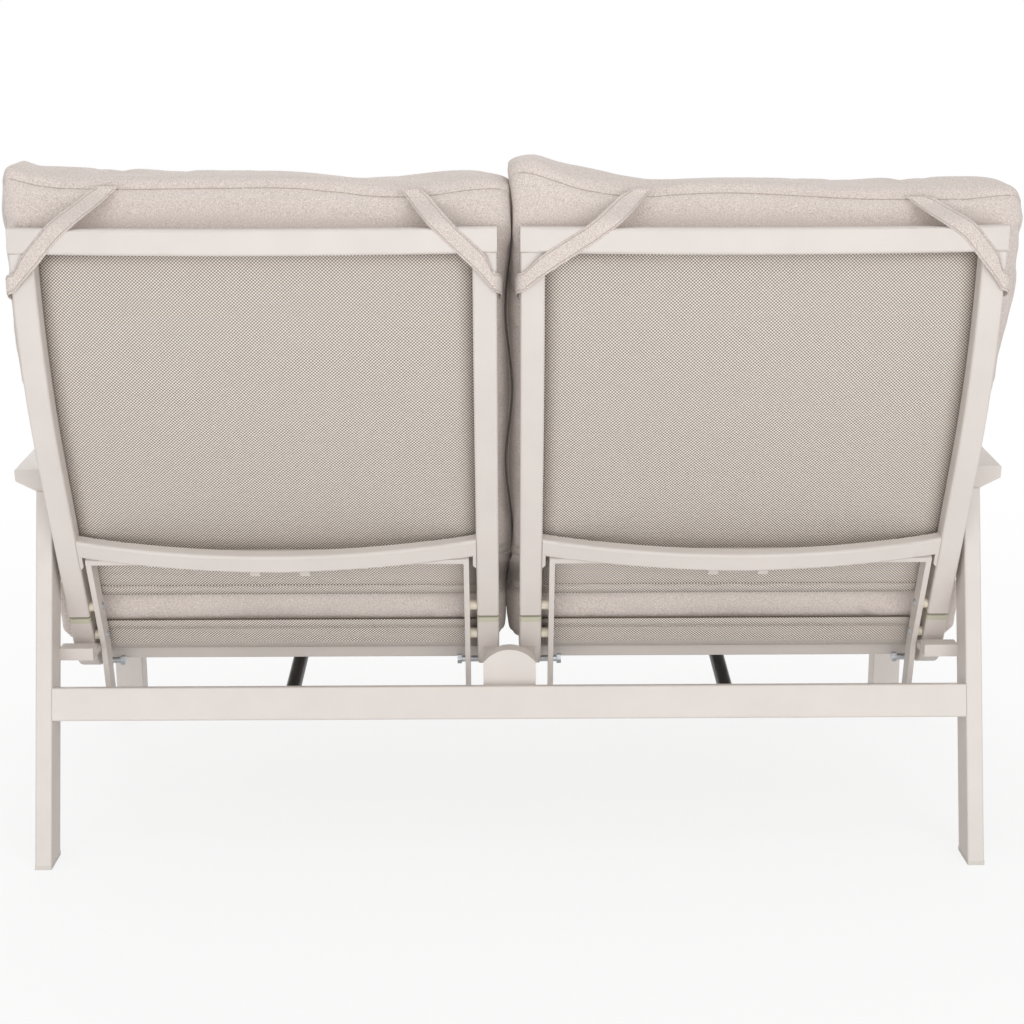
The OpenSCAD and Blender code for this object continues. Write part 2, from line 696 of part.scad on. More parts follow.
module spring_rod() {
  along_spring() difference() {
    union() {
      translate([0, 0, spring_span]) eye_ring(front_eye_r, front_eye_wide, pin_r + pivot_clear);
      translate([0, 0, spring_body - rod_inside])
        cylinder(r = rod_r, h = spring_span - front_eye_r + overrun - spring_body + rod_inside, $fn = fine);
    }
    translate([0, 0, spring_span]) rotate([0, quarter, 0])
      cylinder(r = pin_r + pivot_clear, h = 2 * front_eye_wide, center = true, $fn = fine);
  }
}
module spring_bracket() {
  near = front_eye_wide / 2 + cheek_gap;
  fy = spring_front[0];
  fz = spring_front[1];
  for (x0 = [seat_mid_x + near, seat_mid_x - near - cheek_thick])
    slab(x0, cheek_thick) union() {
      translate([fy, fz]) circle(cheek_half, $fn = fine);
      polygon([[fy, fz - cheek_half], [fy, fz + cheek_half],
        [front_foot_y + (fz + cheek_half) * tan(front_rake), fz + cheek_half],
        [front_foot_y + (fz - cheek_half) * tan(front_rake), fz - cheek_half]]);
    }
  translate([seat_mid_x, fy, fz]) rotate([0, quarter, 0])
    cylinder(r = pin_r, h = 2 * near + 2 * cheek_thick, center = true, $fn = fine);
}

// Shares of a face from one side to the other, closer together at the sides
function face_shares() = [for (k = [0 : face_steps - 1]) sin(-quarter + 2 * quarter * k / (face_steps - 1))];
// Shares of the length, closer together at the ends
function section_shares() = [for (k = [0 : section_steps - 1])
  end_share * sin(-quarter + 2 * quarter * k / (section_steps - 1))];
// Closed skin over sections with the same number of points each
module skin(rings) {
  n = len(rings[0]);
  m = len(rings);
  points = [for (ring = rings) for (p = ring) p];
  polyhedron(points, [
    for (i = [0 : m - 2]) for (j = [0 : n - 1]) for (t = [0, 1])
      t == 0 ? [i * n + j, (i + 1) * n + j, (i + 1) * n + (j + 1) % n]
        : [i * n + j, (i + 1) * n + (j + 1) % n, i * n + (j + 1) % n],
    for (j = [1 : n - 2]) [0, j, j + 1],
    for (j = [1 : n - 2]) [(m - 1) * n, (m - 1) * n + j + 1, (m - 1) * n + j]]);
}
// One section: shares along a, fullness across b, flat on one side and soft on the other
function ring_of(a, b_flat, b_soft) = concat(
  [for (s = face_shares()) [a * s, b_flat * full(s, firm_share)]],
  [for (k = [face_steps - 2 : -1 : 1]) let (s = face_shares()[k]) [a * s, -b_soft * full(s, soft_share)]]);

// Back cushion: sections that follow the stiles, raised at the upper corners
module back_cushion_shape() {
  mid_z = (back_low_z + back_high_z) / 2;
  half_z = (back_high_z - back_low_z) / 2;
  skin([for (q = section_shares()) let (
    low_z = mid_z + half_z * q,
    out_x = back_out_x + (back_wing_x - back_out_x) * ease((low_z - wing_low_z) / wing_rise),
    mid_x = (out_x + back_in_x) / 2,
    half_x = (out_x - back_in_x) / 2,
    a = half_x * full(q, side_fullness),
    f = full(q, edge_share),
    crown = 1 + back_crown / back_thick * full(q, 2))
    [for (p = ring_of(a, f, f * (2 * crown - 1))) let (
      s = p[0] / half_x,
      z = low_z + ease((q - ear_share) / (1 - ear_share)) * (ear_rise * pow(s, 4)
        - top_dip * exp(-pow((s + dip_share) / dip_share, 2) * dip_sharp)),
      b = back_thick / 2 / cos(lean_at(z)))
      [mid_x + p[0], stile_rear(z) - (tube_deep + soft_gap) / cos(lean_at(z)) - b + b * p[1], z]]]);
}
// Seat cushion: upright sections along X in the frame of the seat rails
module seat_cushion_shape() {
  mid_x = (seat_in_x + seat_out_x) / 2;
  half_x = (seat_out_x - seat_in_x) / 2;
  mid_p = (seat_back_reach - seat_reach) / 2;
  half_p = (seat_back_reach + seat_reach) / 2;
  b = seat_thick / 2;
  along_seat() skin([for (q = section_shares()) let (
    a = half_p * full(q, side_fullness),
    f = full(q, edge_share),
    crown = 1 + seat_crown / seat_thick * full(q, 2))
    [for (p = ring_of(a, b * f, b * f * (2 * crown - 1)))
      [mid_x + half_x * q + seat_bulge * pow(max(0, q), 3) * ease((mid_p + p[0] + seat_reach - bulge_from) / bulge_over),
        -tube_deep - soft_gap - b + p[1],
        mid_p + p[0] - seat_rear_lean * p[1] / b * ease(p[0] / half_p)]]]);
}
// Corner strap over one upper corner: from the cushion over the top rail's edge to the stile's
// outer side, where it turns to the front. The first shape is its run from above, the second its
// outline from behind.
module band() {
  half = back_wide / 2 + soft_gap;
  w = band_wide / 2;
  run = [half - band_start_off, band_end_z - band_start_z];
  across = [-run[1], run[0]] / norm(run) * w;
  lift = w * norm(run) / run[0];
  end_y = stile_rear(band_end_z) + soft_gap;
  start = [band_start_off - across[0], stile_top_y - tube_deep + soft_gap];
  rear = concat([start], [for (t = band_shares)
    [band_start_off + run[0] * t, rail_rear(band_start_off + run[0] * t) + soft_gap]]);
  last = half + band_thick;
  intersection() {
    translate([seat_mid_x, 0, band_end_z - band_wide]) linear_extrude(band_start_z - band_end_z + 2 * band_wide)
      polygon(concat(rear, [[half, end_y], [half, end_y - tube_deep + band_thick],
        [last, end_y - tube_deep + band_thick], [last, end_y + band_thick]],
        [for (k = [len(rear) - 1 : -1 : 0]) rear[k] + [0, band_thick]]));
    translate([seat_mid_x, tall_z, 0]) rotate([quarter, 0, 0]) linear_extrude(2 * tall_z)
      polygon([[band_start_off - across[0], band_start_z - across[1]],
        [band_start_off + across[0], band_start_z + across[1]],
        [half, band_end_z + lift], [last + overrun, band_end_z + lift],
        [last + overrun, band_end_z - lift], [half, band_end_z - lift]]);
  }
}

module left_rear_leg() { color(frame_colour) placed() rear_leg(); }
module right_rear_leg() { color(frame_colour) placed() other_side() rear_leg(); }
module left_front_leg() { color(frame_colour) placed() front_leg(); }
module right_front_leg() { color(frame_colour) placed() other_side() front_leg(); }
module left_armrest() { color(frame_colour) placed() armrest(); }
module right_armrest() { color(frame_colour) placed() other_side() armrest(); }
module left_seat_stub() { color(frame_colour) placed() stub(); }
module right_seat_stub() { color(frame_colour) placed() other_side() stub(); }
module rear_rail() { color(frame_colour) placed() rear_rail_shape(); }
module front_rail() { color(frame_colour) placed() front_rail_shape(); }
module centre_post() { color(frame_colour) placed() post_shape(); }
module foot_glides() {
  color(glide_colour) placed() for (m = [0, 1]) mirror([m, 0, 0]) {
    glide(leg_in_x, leg_wide, leg_deep, leg_foot_y, leg_rake);
    glide(front_in_x, front_wide, front_deep, front_foot_y, front_rake);
  }
}
module outer_rail_shape() { seat_rail(seat_mid_x + rail_in, seat_mid_x + rail_in); }
module inner_rail_shape() { seat_rail(seat_left, seat_mid_x - rail_in); }
module left_outer_seat_rail() { color(frame_colour) placed() outer_rail_shape(); }
module left_inner_seat_rail() { color(frame_colour) placed() inner_rail_shape(); }
module right_outer_seat_rail() { color(frame_colour) placed() other_side() outer_rail_shape(); }
module right_inner_seat_rail() { color(frame_colour) placed() other_side() inner_rail_shape(); }
module left_cross_tube() { color(frame_colour) placed() cross_tube(); }
module right_cross_tube() { color(frame_colour) placed() other_side() cross_tube(); }
module left_front_tube() { color(frame_colour) placed() front_tube(); }
module right_front_tube() { color(frame_colour) placed() other_side() front_tube(); }
module left_seat_sling() { color(mesh_colour) placed() seat_sling_shape(); }
module right_seat_sling() { color(mesh_colour) placed() other_side() seat_sling_shape(); }
module left_spring_bracket() { color(frame_colour) placed() spring_bracket(); }
module right_spring_bracket() { color(frame_colour) placed() other_side() spring_bracket(); }
module rail_caps() {
  color(cap_colour) placed() for (m = [0, 1]) mirror([m, 0, 0]) {
    rail_cap(seat_mid_x + rail_in);
    rail_cap(seat_left);
  }
}
module stop_bolts() {
  color(zinc_colour) placed() for (m = [0, 1]) mirror([m, 0, 0]) {
    stop_bolt(1);
    stop_bolt(-1);
  }
}
module outer_stile_shape() { stile(seat_mid_x + rail_in, seat_mid_x + rail_in); }
module inner_stile_shape() { stile(seat_left, seat_mid_x - rail_in); }
module left_outer_stile() { color(frame_colour) placed() outer_stile_shape(); }
module left_inner_stile() { color(frame_colour) placed() inner_stile_shape(); }
module right_outer_stile() { color(frame_colour) placed() other_side() outer_stile_shape(); }
module right_inner_stile() { color(frame_colour) placed() other_side() inner_stile_shape(); }
module left_top_rail() { color(frame_colour) placed() top_rail(); }
module right_top_rail() { color(frame_colour) placed() other_side() top_rail(); }
module left_brace() { color(frame_colour) placed() brace(); }
module right_brace() { color(frame_colour) placed() other_side() brace(); }
module left_back_sling() { color(mesh_colour) placed() back_sling_shape(); }
module right_back_sling() { color(mesh_colour) placed() other_side() back_sling_shape(); }
module left_outer_strap() { color(frame_colour) placed() strap(seat_mid_x + strap_out - strap_thick); }
module left_inner_strap() { color(frame_colour) placed() strap(seat_mid_x - strap_out); }
module right_outer_strap() {
  color(frame_colour) placed() other_side() strap(seat_mid_x + strap_out - strap_thick);
}
module right_inner_strap() { color(frame_colour) placed() other_side() strap(seat_mid_x - strap_out); }
module left_strap_bar() { color(frame_colour) placed() strap_bar_shape(); }
module right_strap_bar() { color(frame_colour) placed() other_side() strap_bar_shape(); }
module left_lever_tube() { color(frame_colour) placed() lever_shape(); }
module right_lever_tube() { color(frame_colour) placed() other_side() lever_shape(); }
module spacer_set() {
  spacers_of(1);
  spacers_of(-1);
}
module left_spacers() { color(spacer_colour) placed() spacer_set(); }
module right_spacers() { color(spacer_colour) placed() other_side() spacer_set(); }
module pin_set() {
  pins_of(1);
  pins_of(-1);
}
module left_pins() { color(zinc_colour) placed() pin_set(); }
module right_pins() { color(zinc_colour) placed() other_side() pin_set(); }
module left_gas_cylinder() { color(black_colour) placed() spring_cylinder(); }
module right_gas_cylinder() { color(black_colour) placed() other_side() spring_cylinder(); }
module left_gas_rod() { color(black_colour) placed() spring_rod(); }
module right_gas_rod() { color(black_colour) placed() other_side() spring_rod(); }
module left_seat_cushion() { color(cushion_colour) placed() seat_cushion_shape(); }
module right_seat_cushion() { color(cushion_colour) placed() other_side() seat_cushion_shape(); }
module left_back_cushion() { color(cushion_colour) placed() back_cushion_shape(); }
module right_back_cushion() { color(cushion_colour) placed() other_side() back_cushion_shape(); }
module band_set() {
  band();
  translate([2 * seat_mid_x, 0, 0]) mirror([1, 0, 0]) band();
}
module left_corner_straps() { color(cushion_colour) placed() band_set(); }
module right_corner_straps() { color(cushion_colour) placed() other_side() band_set(); }

left_rear_leg();
right_rear_leg();
left_front_leg();
right_front_leg();
left_armrest();
right_armrest();
left_seat_stub();
right_seat_stub();
rear_rail();
front_rail();
centre_post();
foot_glides();
left_outer_seat_rail();
left_inner_seat_rail();
right_outer_seat_rail();
right_inner_seat_rail();
left_cross_tube();
right_cross_tube();
left_front_tube();
right_front_tube();
left_seat_sling();
right_seat_sling();
left_spring_bracket();
right_spring_bracket();
rail_caps();
stop_bolts();
left_outer_stile();
left_inner_stile();
right_outer_stile();
right_inner_stile();
left_top_rail();
right_top_rail();
left_brace();
right_brace();
left_back_sling();
right_back_sling();
left_outer_strap();
left_inner_strap();
right_outer_strap();
right_inner_strap();
left_strap_bar();
right_strap_bar();
left_lever_tube();
right_lever_tube();
left_spacers();
right_spacers();
left_pins();
right_pins();
left_gas_cylinder();
right_gas_cylinder();
left_gas_rod();
right_gas_rod();
left_seat_cushion();
right_seat_cushion();
left_back_cushion();
right_back_cushion();
left_corner_straps();
right_corner_straps();
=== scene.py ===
import json
import math

import bmesh
import bpy
import numpy as np
from bpy.props import FloatProperty, FloatVectorProperty, IntProperty, PointerProperty
from mathutils import Matrix, Vector
from mathutils.bvhtree import BVHTree


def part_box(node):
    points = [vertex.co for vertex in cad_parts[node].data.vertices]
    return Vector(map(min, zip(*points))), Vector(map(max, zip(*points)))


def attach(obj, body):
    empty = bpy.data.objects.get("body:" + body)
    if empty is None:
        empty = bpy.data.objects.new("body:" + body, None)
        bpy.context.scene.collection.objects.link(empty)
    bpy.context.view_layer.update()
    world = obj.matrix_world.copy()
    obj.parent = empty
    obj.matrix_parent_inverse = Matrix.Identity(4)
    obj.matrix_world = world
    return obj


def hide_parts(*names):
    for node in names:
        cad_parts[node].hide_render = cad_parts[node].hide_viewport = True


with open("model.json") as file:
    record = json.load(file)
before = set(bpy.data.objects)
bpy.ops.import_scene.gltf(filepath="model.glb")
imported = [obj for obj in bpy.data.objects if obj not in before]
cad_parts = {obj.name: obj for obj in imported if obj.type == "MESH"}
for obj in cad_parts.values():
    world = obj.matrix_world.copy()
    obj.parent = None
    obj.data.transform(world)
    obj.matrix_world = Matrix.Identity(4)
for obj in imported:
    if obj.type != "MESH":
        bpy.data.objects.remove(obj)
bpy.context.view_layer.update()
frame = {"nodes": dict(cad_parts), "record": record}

bl_info = {
    "name": "Reclining lounge sofa",
    "version": (1, 0, 0),
    "blender": (4, 5, 0),
    "location": "View3D > Sidebar > Sofa",
    "description": "Slings, cushions, straps and finishes of a two-seat sofa with reclining backs",
    "category": "Object",
}

# Places taken from the frame
MM = 0.001
SIDES = (("left", 1.0), ("right", -1.0))
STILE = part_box("left_outer_stile")
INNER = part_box("left_inner_stile")
SEAT_MID = (STILE[1].x + INNER[0].x) / 2
HALF_OUT = (STILE[1].x - INNER[0].x) / 2
HALF_IN = HALF_OUT - (STILE[1].x - STILE[0].x)
FOOT_Z = STILE[0].z

# Stiles and seat rails: their depth, the stiles' lean, straight foot and bend radius, and the
# rails' upright end, bend radius, turn and straight length
DEEP = 28 * MM
LEAN = math.radians(20.5)
STRAIGHT = 271.2 * MM
BEND = 1005 * MM
UPRIGHT = 72.6 * MM
RAIL_BEND = 50 * MM
RAIL_TURN = math.radians(75.5)
RAIL_LONG = 429 * MM
TOP_Z = FOOT_Z + STRAIGHT * math.cos(LEAN) + BEND * math.sin(LEAN)
TOP_Y = STILE[1].y
FOOT_Y = TOP_Y - STRAIGHT * math.sin(LEAN) - BEND * (1 - math.cos(LEAN))


def back_place(depth, along):
    """A point at a depth in front of the stiles' rear face and a length along them: straight for
    STRAIGHT, then round an arc of radius BEND to upright, then upright. Arrays in, (y, z) out."""
    depth, along = np.broadcast_arrays(np.asarray(depth, float), np.asarray(along, float))
    arc = BEND * LEAN
    past = np.clip((along - STRAIGHT) / BEND, 0, LEAN)
    lean = LEAN - past
    low = np.minimum(along, STRAIGHT)
    y = FOOT_Y + low * math.sin(LEAN) + BEND * (np.cos(lean) - math.cos(LEAN))
    z = FOOT_Z + low * math.cos(LEAN) + BEND * (math.sin(LEAN) - np.sin(lean))
    z = z + np.maximum(along - STRAIGHT - arc, 0)
    return y - depth * np.cos(lean), z + depth * np.sin(lean)


def stile_rear(z):
    """Rear face of the stiles at a height: a leaning line, then an arc, then upright."""
    z = np.asarray(z, float)
    bend_z = FOOT_Z + STRAIGHT * math.cos(LEAN)
    line = FOOT_Y + (z - FOOT_Z) * math.tan(LEAN)
    arc = TOP_Y - BEND + np.sqrt(BEND**2 - np.clip(TOP_Z - z, 0, BEND * math.sin(LEAN)) ** 2)
    return np.where(z < bend_z, line, arc)


def seat_place(depth, along):
    """A point at a depth above the seat rails' underside. along runs from the upright rear end
    down, round the bend of radius RAIL_BEND, then forward under the seat: (y, z) out."""
    depth, along = np.broadcast_arrays(np.asarray(depth, float), np.asarray(along, float))
    turn = np.clip((along - UPRIGHT) / RAIL_BEND, 0, RAIL_TURN)
    down = np.minimum(along, UPRIGHT)
    forward = np.maximum(along - UPRIGHT - RAIL_BEND * RAIL_TURN, 0)
    lean = LEAN + turn
    cy = FOOT_Y - UPRIGHT * math.sin(LEAN) - RAIL_BEND * math.cos(LEAN)
    cz = FOOT_Z - UPRIGHT * math.cos(LEAN) + RAIL_BEND * math.sin(LEAN)
    out = RAIL_BEND - depth
    y = cy + (UPRIGHT - down) * math.sin(LEAN) + out * np.cos(lean) - forward * np.sin(lean)
    z = cz + (UPRIGHT - down) * math.cos(LEAN) - out * np.sin(lean) - forward * np.cos(lean)
    return y, z


# Meshes
def new_object(name, points, faces, smooth=True, uv=None):
    """A mesh object at the origin from an (n, 3) array and a list or array of faces."""
    mesh = bpy.data.meshes.new(name)
    mesh.from_pydata(np.asarray(points, float).tolist(), [], [list(map(int, f)) for f in faces])
    mesh.polygons.foreach_set("use_smooth", [smooth] * len(mesh.polygons))
    if uv is not None:
        layer = mesh.uv_layers.new(name="cloth")
        loops = np.zeros(len(mesh.loops), np.int32)
        mesh.loops.foreach_get("vertex_index", loops)
        layer.data.foreach_set("uv", np.asarray(uv, np.float32)[loops].ravel())
    mesh.update()
    obj = bpy.data.objects.new(name, mesh)
    bpy.context.scene.collection.objects.link(obj)
    return obj


def grid_faces(rows, cols, close=False):
    """Quads of a grid of rows by cols points, closed round the columns if asked."""
    i, j = np.meshgrid(np.arange(rows - 1), np.arange(cols if close else cols - 1), indexing="ij")
    k = (j + 1) % cols
    return np.stack([i * cols + j, i * cols + k, (i + 1) * cols + k, (i + 1) * cols + j], -1).reshape(-1, 4)


def ring_faces(rows, cols):
    """Faces of a skin over closed rings of cols points: quads between them, one face at each end."""
    faces = [list(f) for f in grid_faces(rows, cols, True)]
    return faces + [list(range(cols))[::-1], list(range((rows - 1) * cols, rows * cols))]


def outward(obj):
    """Merges doubles and turns every face outwards."""
    bm = bmesh.new()
    bm.from_mesh(obj.data)
    bmesh.ops.remove_doubles(bm, verts=bm.verts, dist=1e-6)
    bmesh.ops.recalc_face_normals(bm, faces=bm.faces)
    bm.to_mesh(obj.data)
    bm.free()


def tube(path, radius, sides=8, closed=False):
    """A round section carried along a path (n, 3): ring i is the path's point plus
    radius * (cos a * n1 + sin a * n2) with n1, n2 square to the path's direction."""
    path = np.asarray(path, float)
    step = np.roll(path, -1, 0) - np.roll(path, 1, 0)
    if not closed:
        step[0], step[-1] = path[1] - path[0], path[-1] - path[-2]
    t = step / np.linalg.norm(step, axis=1, keepdims=True)
    ref = np.tile(np.array([0.31, 0.87, 0.38]), (len(path), 1))
    n1 = np.cross(t, ref)
    n1 /= np.linalg.norm(n1, axis=1, keepdims=True)
    n2 = np.cross(t, n1)
    a = np.linspace(0, 2 * np.pi, sides, endpoint=False)[None, :, None]
    points = path[:, None] + radius * (np.cos(a) * n1[:, None] + np.sin(a) * n2[:, None])
    if not closed:
        return points.reshape(-1, 3), ring_faces(len(path), sides)
    j = np.arange(sides)
    k = (j + 1) % sides
    last = (len(path) - 1) * sides
    faces = np.vstack([grid_faces(len(path), sides, True), np.stack([last + j, last + k, k, j], -1)])
    return points.reshape(-1, 3), [list(f) for f in faces]


def joined(parts):
    """Several (points, faces) pairs as one."""
    points, faces, start = [], [], 0
    for p, f in parts:
        points.append(p)
        faces += [[int(i) + start for i in g] for g in f]
        start += len(p)
    return np.vstack(points), faces


def coords(obj):
    co = np.zeros(len(obj.data.vertices) * 3, np.float32)
    obj.data.vertices.foreach_get("co", co)
    return co.reshape(-1, 3).astype(float)


def set_coords(obj, co):
    obj.data.vertices.foreach_set("co", np.asarray(co, np.float32).ravel())
    obj.data.update()


def apply_modifiers(obj):
    graph = bpy.context.evaluated_depsgraph_get()
    mesh = bpy.data.meshes.new_from_object(obj.evaluated_get(graph))
    obj.modifiers.clear()
    old = obj.data
    obj.data = mesh
    bpy.data.meshes.remove(old)


# Materials: size of the slings' strands, and the shade painted into the cushions' cloth in the gap where
# they meet
STRAND_ACROSS, STRAND_ALONG = 2.4 * MM, 2.3 * MM
# Painted shade in the gap where the cushions meet: its width, the heights over which it grows, its shares
# and its colour
GAP_SHADE_WIDTH = 12 * MM
GAP_SHADE_FROM, GAP_SHADE_TO = 0.96, 0.90
GAP_SHADE_SHARES = (0.15, 0.72)
GAP_SHADE_COLOUR = (0.10, 0.075, 0.06, 1.0)
GROUPS = {}
PAINTS = {}


def linear(rgb):
    """Screen colour 0-255 to scene colour."""
    c = np.asarray(rgb, float) / 255
    return tuple(np.where(c <= 0.04045, c / 12.92, ((c + 0.055) / 1.055) ** 2.4)) + (1.0,)


def dimmed(rgb, share):
    """A share of a screen colour's light."""
    return tuple(c * share for c in linear(rgb)[:3]) + (1.0,)


class Net:
    """Short calls that add nodes and wires to one node tree."""

    def __init__(self, tree):
        self.tree = tree

    def add(self, kind, **settings):
        node = self.tree.nodes.new(kind)
        for key, value in settings.items():
            setattr(node, key, value)
        return node

    def wire(self, a, b):
        self.tree.links.new(a, b)

    def sum(self, op, a, b=None):
        node = self.add("ShaderNodeMath", operation=op)
        for i, x in enumerate((a, b)):
            if x is None:
                continue
            if isinstance(x, (int, float)):
                node.inputs[i].default_value = x
            else:
                self.wire(x, node.inputs[i])
        return node.outputs[0]

    def mix(self, share, a, b, blend="MIX"):
        node = self.add("ShaderNodeMix", data_type="RGBA", blend_type=blend)
        for socket, x in ((node.inputs[0], share), (node.inputs[6], a), (node.inputs[7], b)):
            if isinstance(x, (int, float, tuple)):
                socket.default_value = x
            else:
                self.wire(x, socket)
        return node.outputs[2]

    def fade(self, value, low, high, start=0.0, end=1.0):
        """start where the value is at low and end where it is at high, in a straight run."""
        node = self.add("ShaderNodeMapRange")
        for name, x in zip(("From Min", "From Max", "To Min", "To Max"), (low, high, start, end)):
            node.inputs[name].default_value = x
        self.wire(value, node.inputs["Value"])
        return node.outputs[0]

    def noise(self, vector, scale, detail):
        node = self.add("ShaderNodeTexNoise")
        node.inputs["Detail"].default_value = detail
        self.wire(vector, node.inputs["Vector"])
        self.wire(scale, node.inputs["Scale"])
        return node.outputs[0]

    def stretched(self, vector, scale):
        node = self.add("ShaderNodeMapping")
        node.inputs["Scale"].default_value = scale
        self.wire(vector, node.inputs["Vector"])
        return node.outputs[0]


def new_group(name, inputs, outputs):
    tree = bpy.data.node_groups.new(name, "ShaderNodeTree")
    for label, kind, value in inputs:
        socket = tree.interface.new_socket(name=label, in_out="INPUT", socket_type=kind)
        if value is not None:
            socket.default_value = value
    for label, kind in outputs:
        tree.interface.new_socket(name=label, in_out="OUTPUT", socket_type=kind)
    net = Net(tree)
    return net, net.add("NodeGroupInput"), net.add("NodeGroupOutput")


def weave_group():
    """Plain weave of two crossing sets of flat strands: c = cos(pi u) cos(pi v) is +1 where the
    light strand lies on top, -1 where it dives and 0 along the edges, with u and v in strands.
    Height is (1 + c) / 2 and Dive is (1 - c) / 2."""
    net, start, end = new_group(
        "woven_strands",
        [
            ("Vector", "NodeSocketVector", None),
            ("Across", "NodeSocketFloat", STRAND_ACROSS),
            ("Along", "NodeSocketFloat", STRAND_ALONG),
        ],
        [("Height", "NodeSocketFloat"), ("Dive", "NodeSocketFloat")],
    )
    split = net.add("ShaderNodeSeparateXYZ")
    net.wire(start.outputs["Vector"], split.inputs[0])
    waves = []
    for k, pitch in ((0, "Across"), (1, "Along")):
        turn = net.sum("MULTIPLY", net.sum("DIVIDE", split.outputs[k], start.outputs[pitch]), math.pi)
        waves.append(net.sum("COSINE", turn))
    half = net.sum("MULTIPLY", net.sum("MULTIPLY", waves[0], waves[1]), 0.5)
    net.wire(net.sum("ADD", 0.5, half), end.inputs["Height"])
    net.wire(net.sum("SUBTRACT", 0.5, half), end.inputs["Dive"])
    return net.tree


def variation_group():
    """Soft variation at two sizes: Broad is noise at Scale, and Fine is noise at 30 x Scale."""
    net, start, end = new_group(
        "soft_variation",
        [("Vector", "NodeSocketVector", None), ("Scale", "NodeSocketFloat", 10.0)],
        [("Broad", "NodeSocketFloat"), ("Fine", "NodeSocketFloat")],
    )
    for name, factor, detail in (("Broad", 1.0, 3.0), ("Fine", 30.0, 2.0)):
        scale = net.sum("MULTIPLY", start.outputs["Scale"], factor)
        net.wire(net.noise(start.outputs["Vector"], scale, detail), end.inputs[name])
    return net.tree


def linen_group():
    """Heather cloth: three noises, stretched along X, Z and Y, give crossing slubs. Tone is their
    mean, and Height is the highest of them."""
    net, start, end = new_group(
        "heather_cloth",
        [("Vector", "NodeSocketVector", None), ("Size", "NodeSocketFloat", 900.0)],
        [("Tone", "NodeSocketFloat"), ("Height", "NodeSocketFloat")],
    )
    a, b, c = (
        net.noise(net.stretched(start.outputs["Vector"], ways), start.outputs["Size"], 1.5)
        for ways in ((0.4, 1.0, 1.0), (1.0, 1.0, 0.4), (1.0, 0.4, 1.0))
    )
    total, highest = (net.sum(op, net.sum(op, a, b), c) for op in ("ADD", "MAXIMUM"))
    net.wire(net.sum("DIVIDE", total, 3.0), end.inputs["Tone"])
    net.wire(highest, end.inputs["Height"])
    return net.tree


def base_material(name):
    material = bpy.data.materials.new(name)
    material.use_nodes = True
    net = Net(material.node_tree)
    shader = material.node_tree.nodes["Principled BSDF"]
    return material, net, shader


def vector_from(net, uv=False):
    node = net.add("ShaderNodeTexCoord")
    return node.outputs["UV" if uv else "Object"]


def placed_group(net, tree, vector, **values):
    node = net.add("ShaderNodeGroup", node_tree=tree)
    net.wire(vector, node.inputs["Vector"])
    for key, value in values.items():
        node.inputs[key].default_value = value
    return node


def bump(net, shader, height, strength, distance):
    node = net.add("ShaderNodeBump")
    node.inputs["Strength"].default_value = strength
    node.inputs["Distance"].default_value = distance
    net.wire(height, node.inputs["Height"])
    net.wire(node.outputs[0], shader.inputs["Normal"])


def ramp(net, value, low, high, a, b):
    """Colour a below low, b above high, mixed between."""
    return net.mix(net.fade(value, low, high), a, b)


def uneven(net, shader, vary, rgb, share, rough, more_rough):
    """Base colour between a share of a screen colour and all of it, as the broad variation says,
    and a roughness that the fine one raises by up to more_rough."""
    tone = ramp(net, vary.outputs["Broad"], 0.3, 0.7, dimmed(rgb, share), linear(rgb))
    net.wire(tone, shader.inputs["Base Color"])
    fine = net.sum("MULTIPLY", vary.outputs["Fine"], more_rough)
    net.wire(net.sum("ADD", fine, rough), shader.inputs["Roughness"])


def coat_material(name, rgb, rough=0.42, grain=0.25):
    """Powder coat: nearly even colour with a fine orange-peel bump."""
    material, net, shader = base_material(name)
    vary = placed_group(net, GROUPS["variation"], vector_from(net), Scale=14.0)
    peel = placed_group(net, GROUPS["variation"], vector_from(net), Scale=60.0)
    uneven(net, shader, vary, rgb, 0.955, rough - 0.05, 0.1)
    bump(net, shader, peel.outputs["Fine"], grain, 0.0004)
    return material


def mesh_material(name, light, dark):
    """Woven mesh: light strands with dark gaps, from the piece's own UV in metres."""
    material, net, shader = base_material(name)
    uv = vector_from(net, True)
    weave = placed_group(net, GROUPS["weave"], uv, Across=STRAND_ACROSS, Along=STRAND_ALONG)
    vary = placed_group(net, GROUPS["variation"], vector_from(net), Scale=9.0)
    body = ramp(net, vary.outputs["Fine"], 0.25, 0.75, dimmed(light, 0.9), linear(light))
    body = ramp(net, weave.outputs["Dive"], 0.22, 0.72, body, linear(dark))
    net.wire(body, shader.inputs["Base Color"])
    shader.inputs["Roughness"].default_value = 0.62
    bump(net, shader, weave.outputs["Height"], 0.55, 0.0006)
    return material


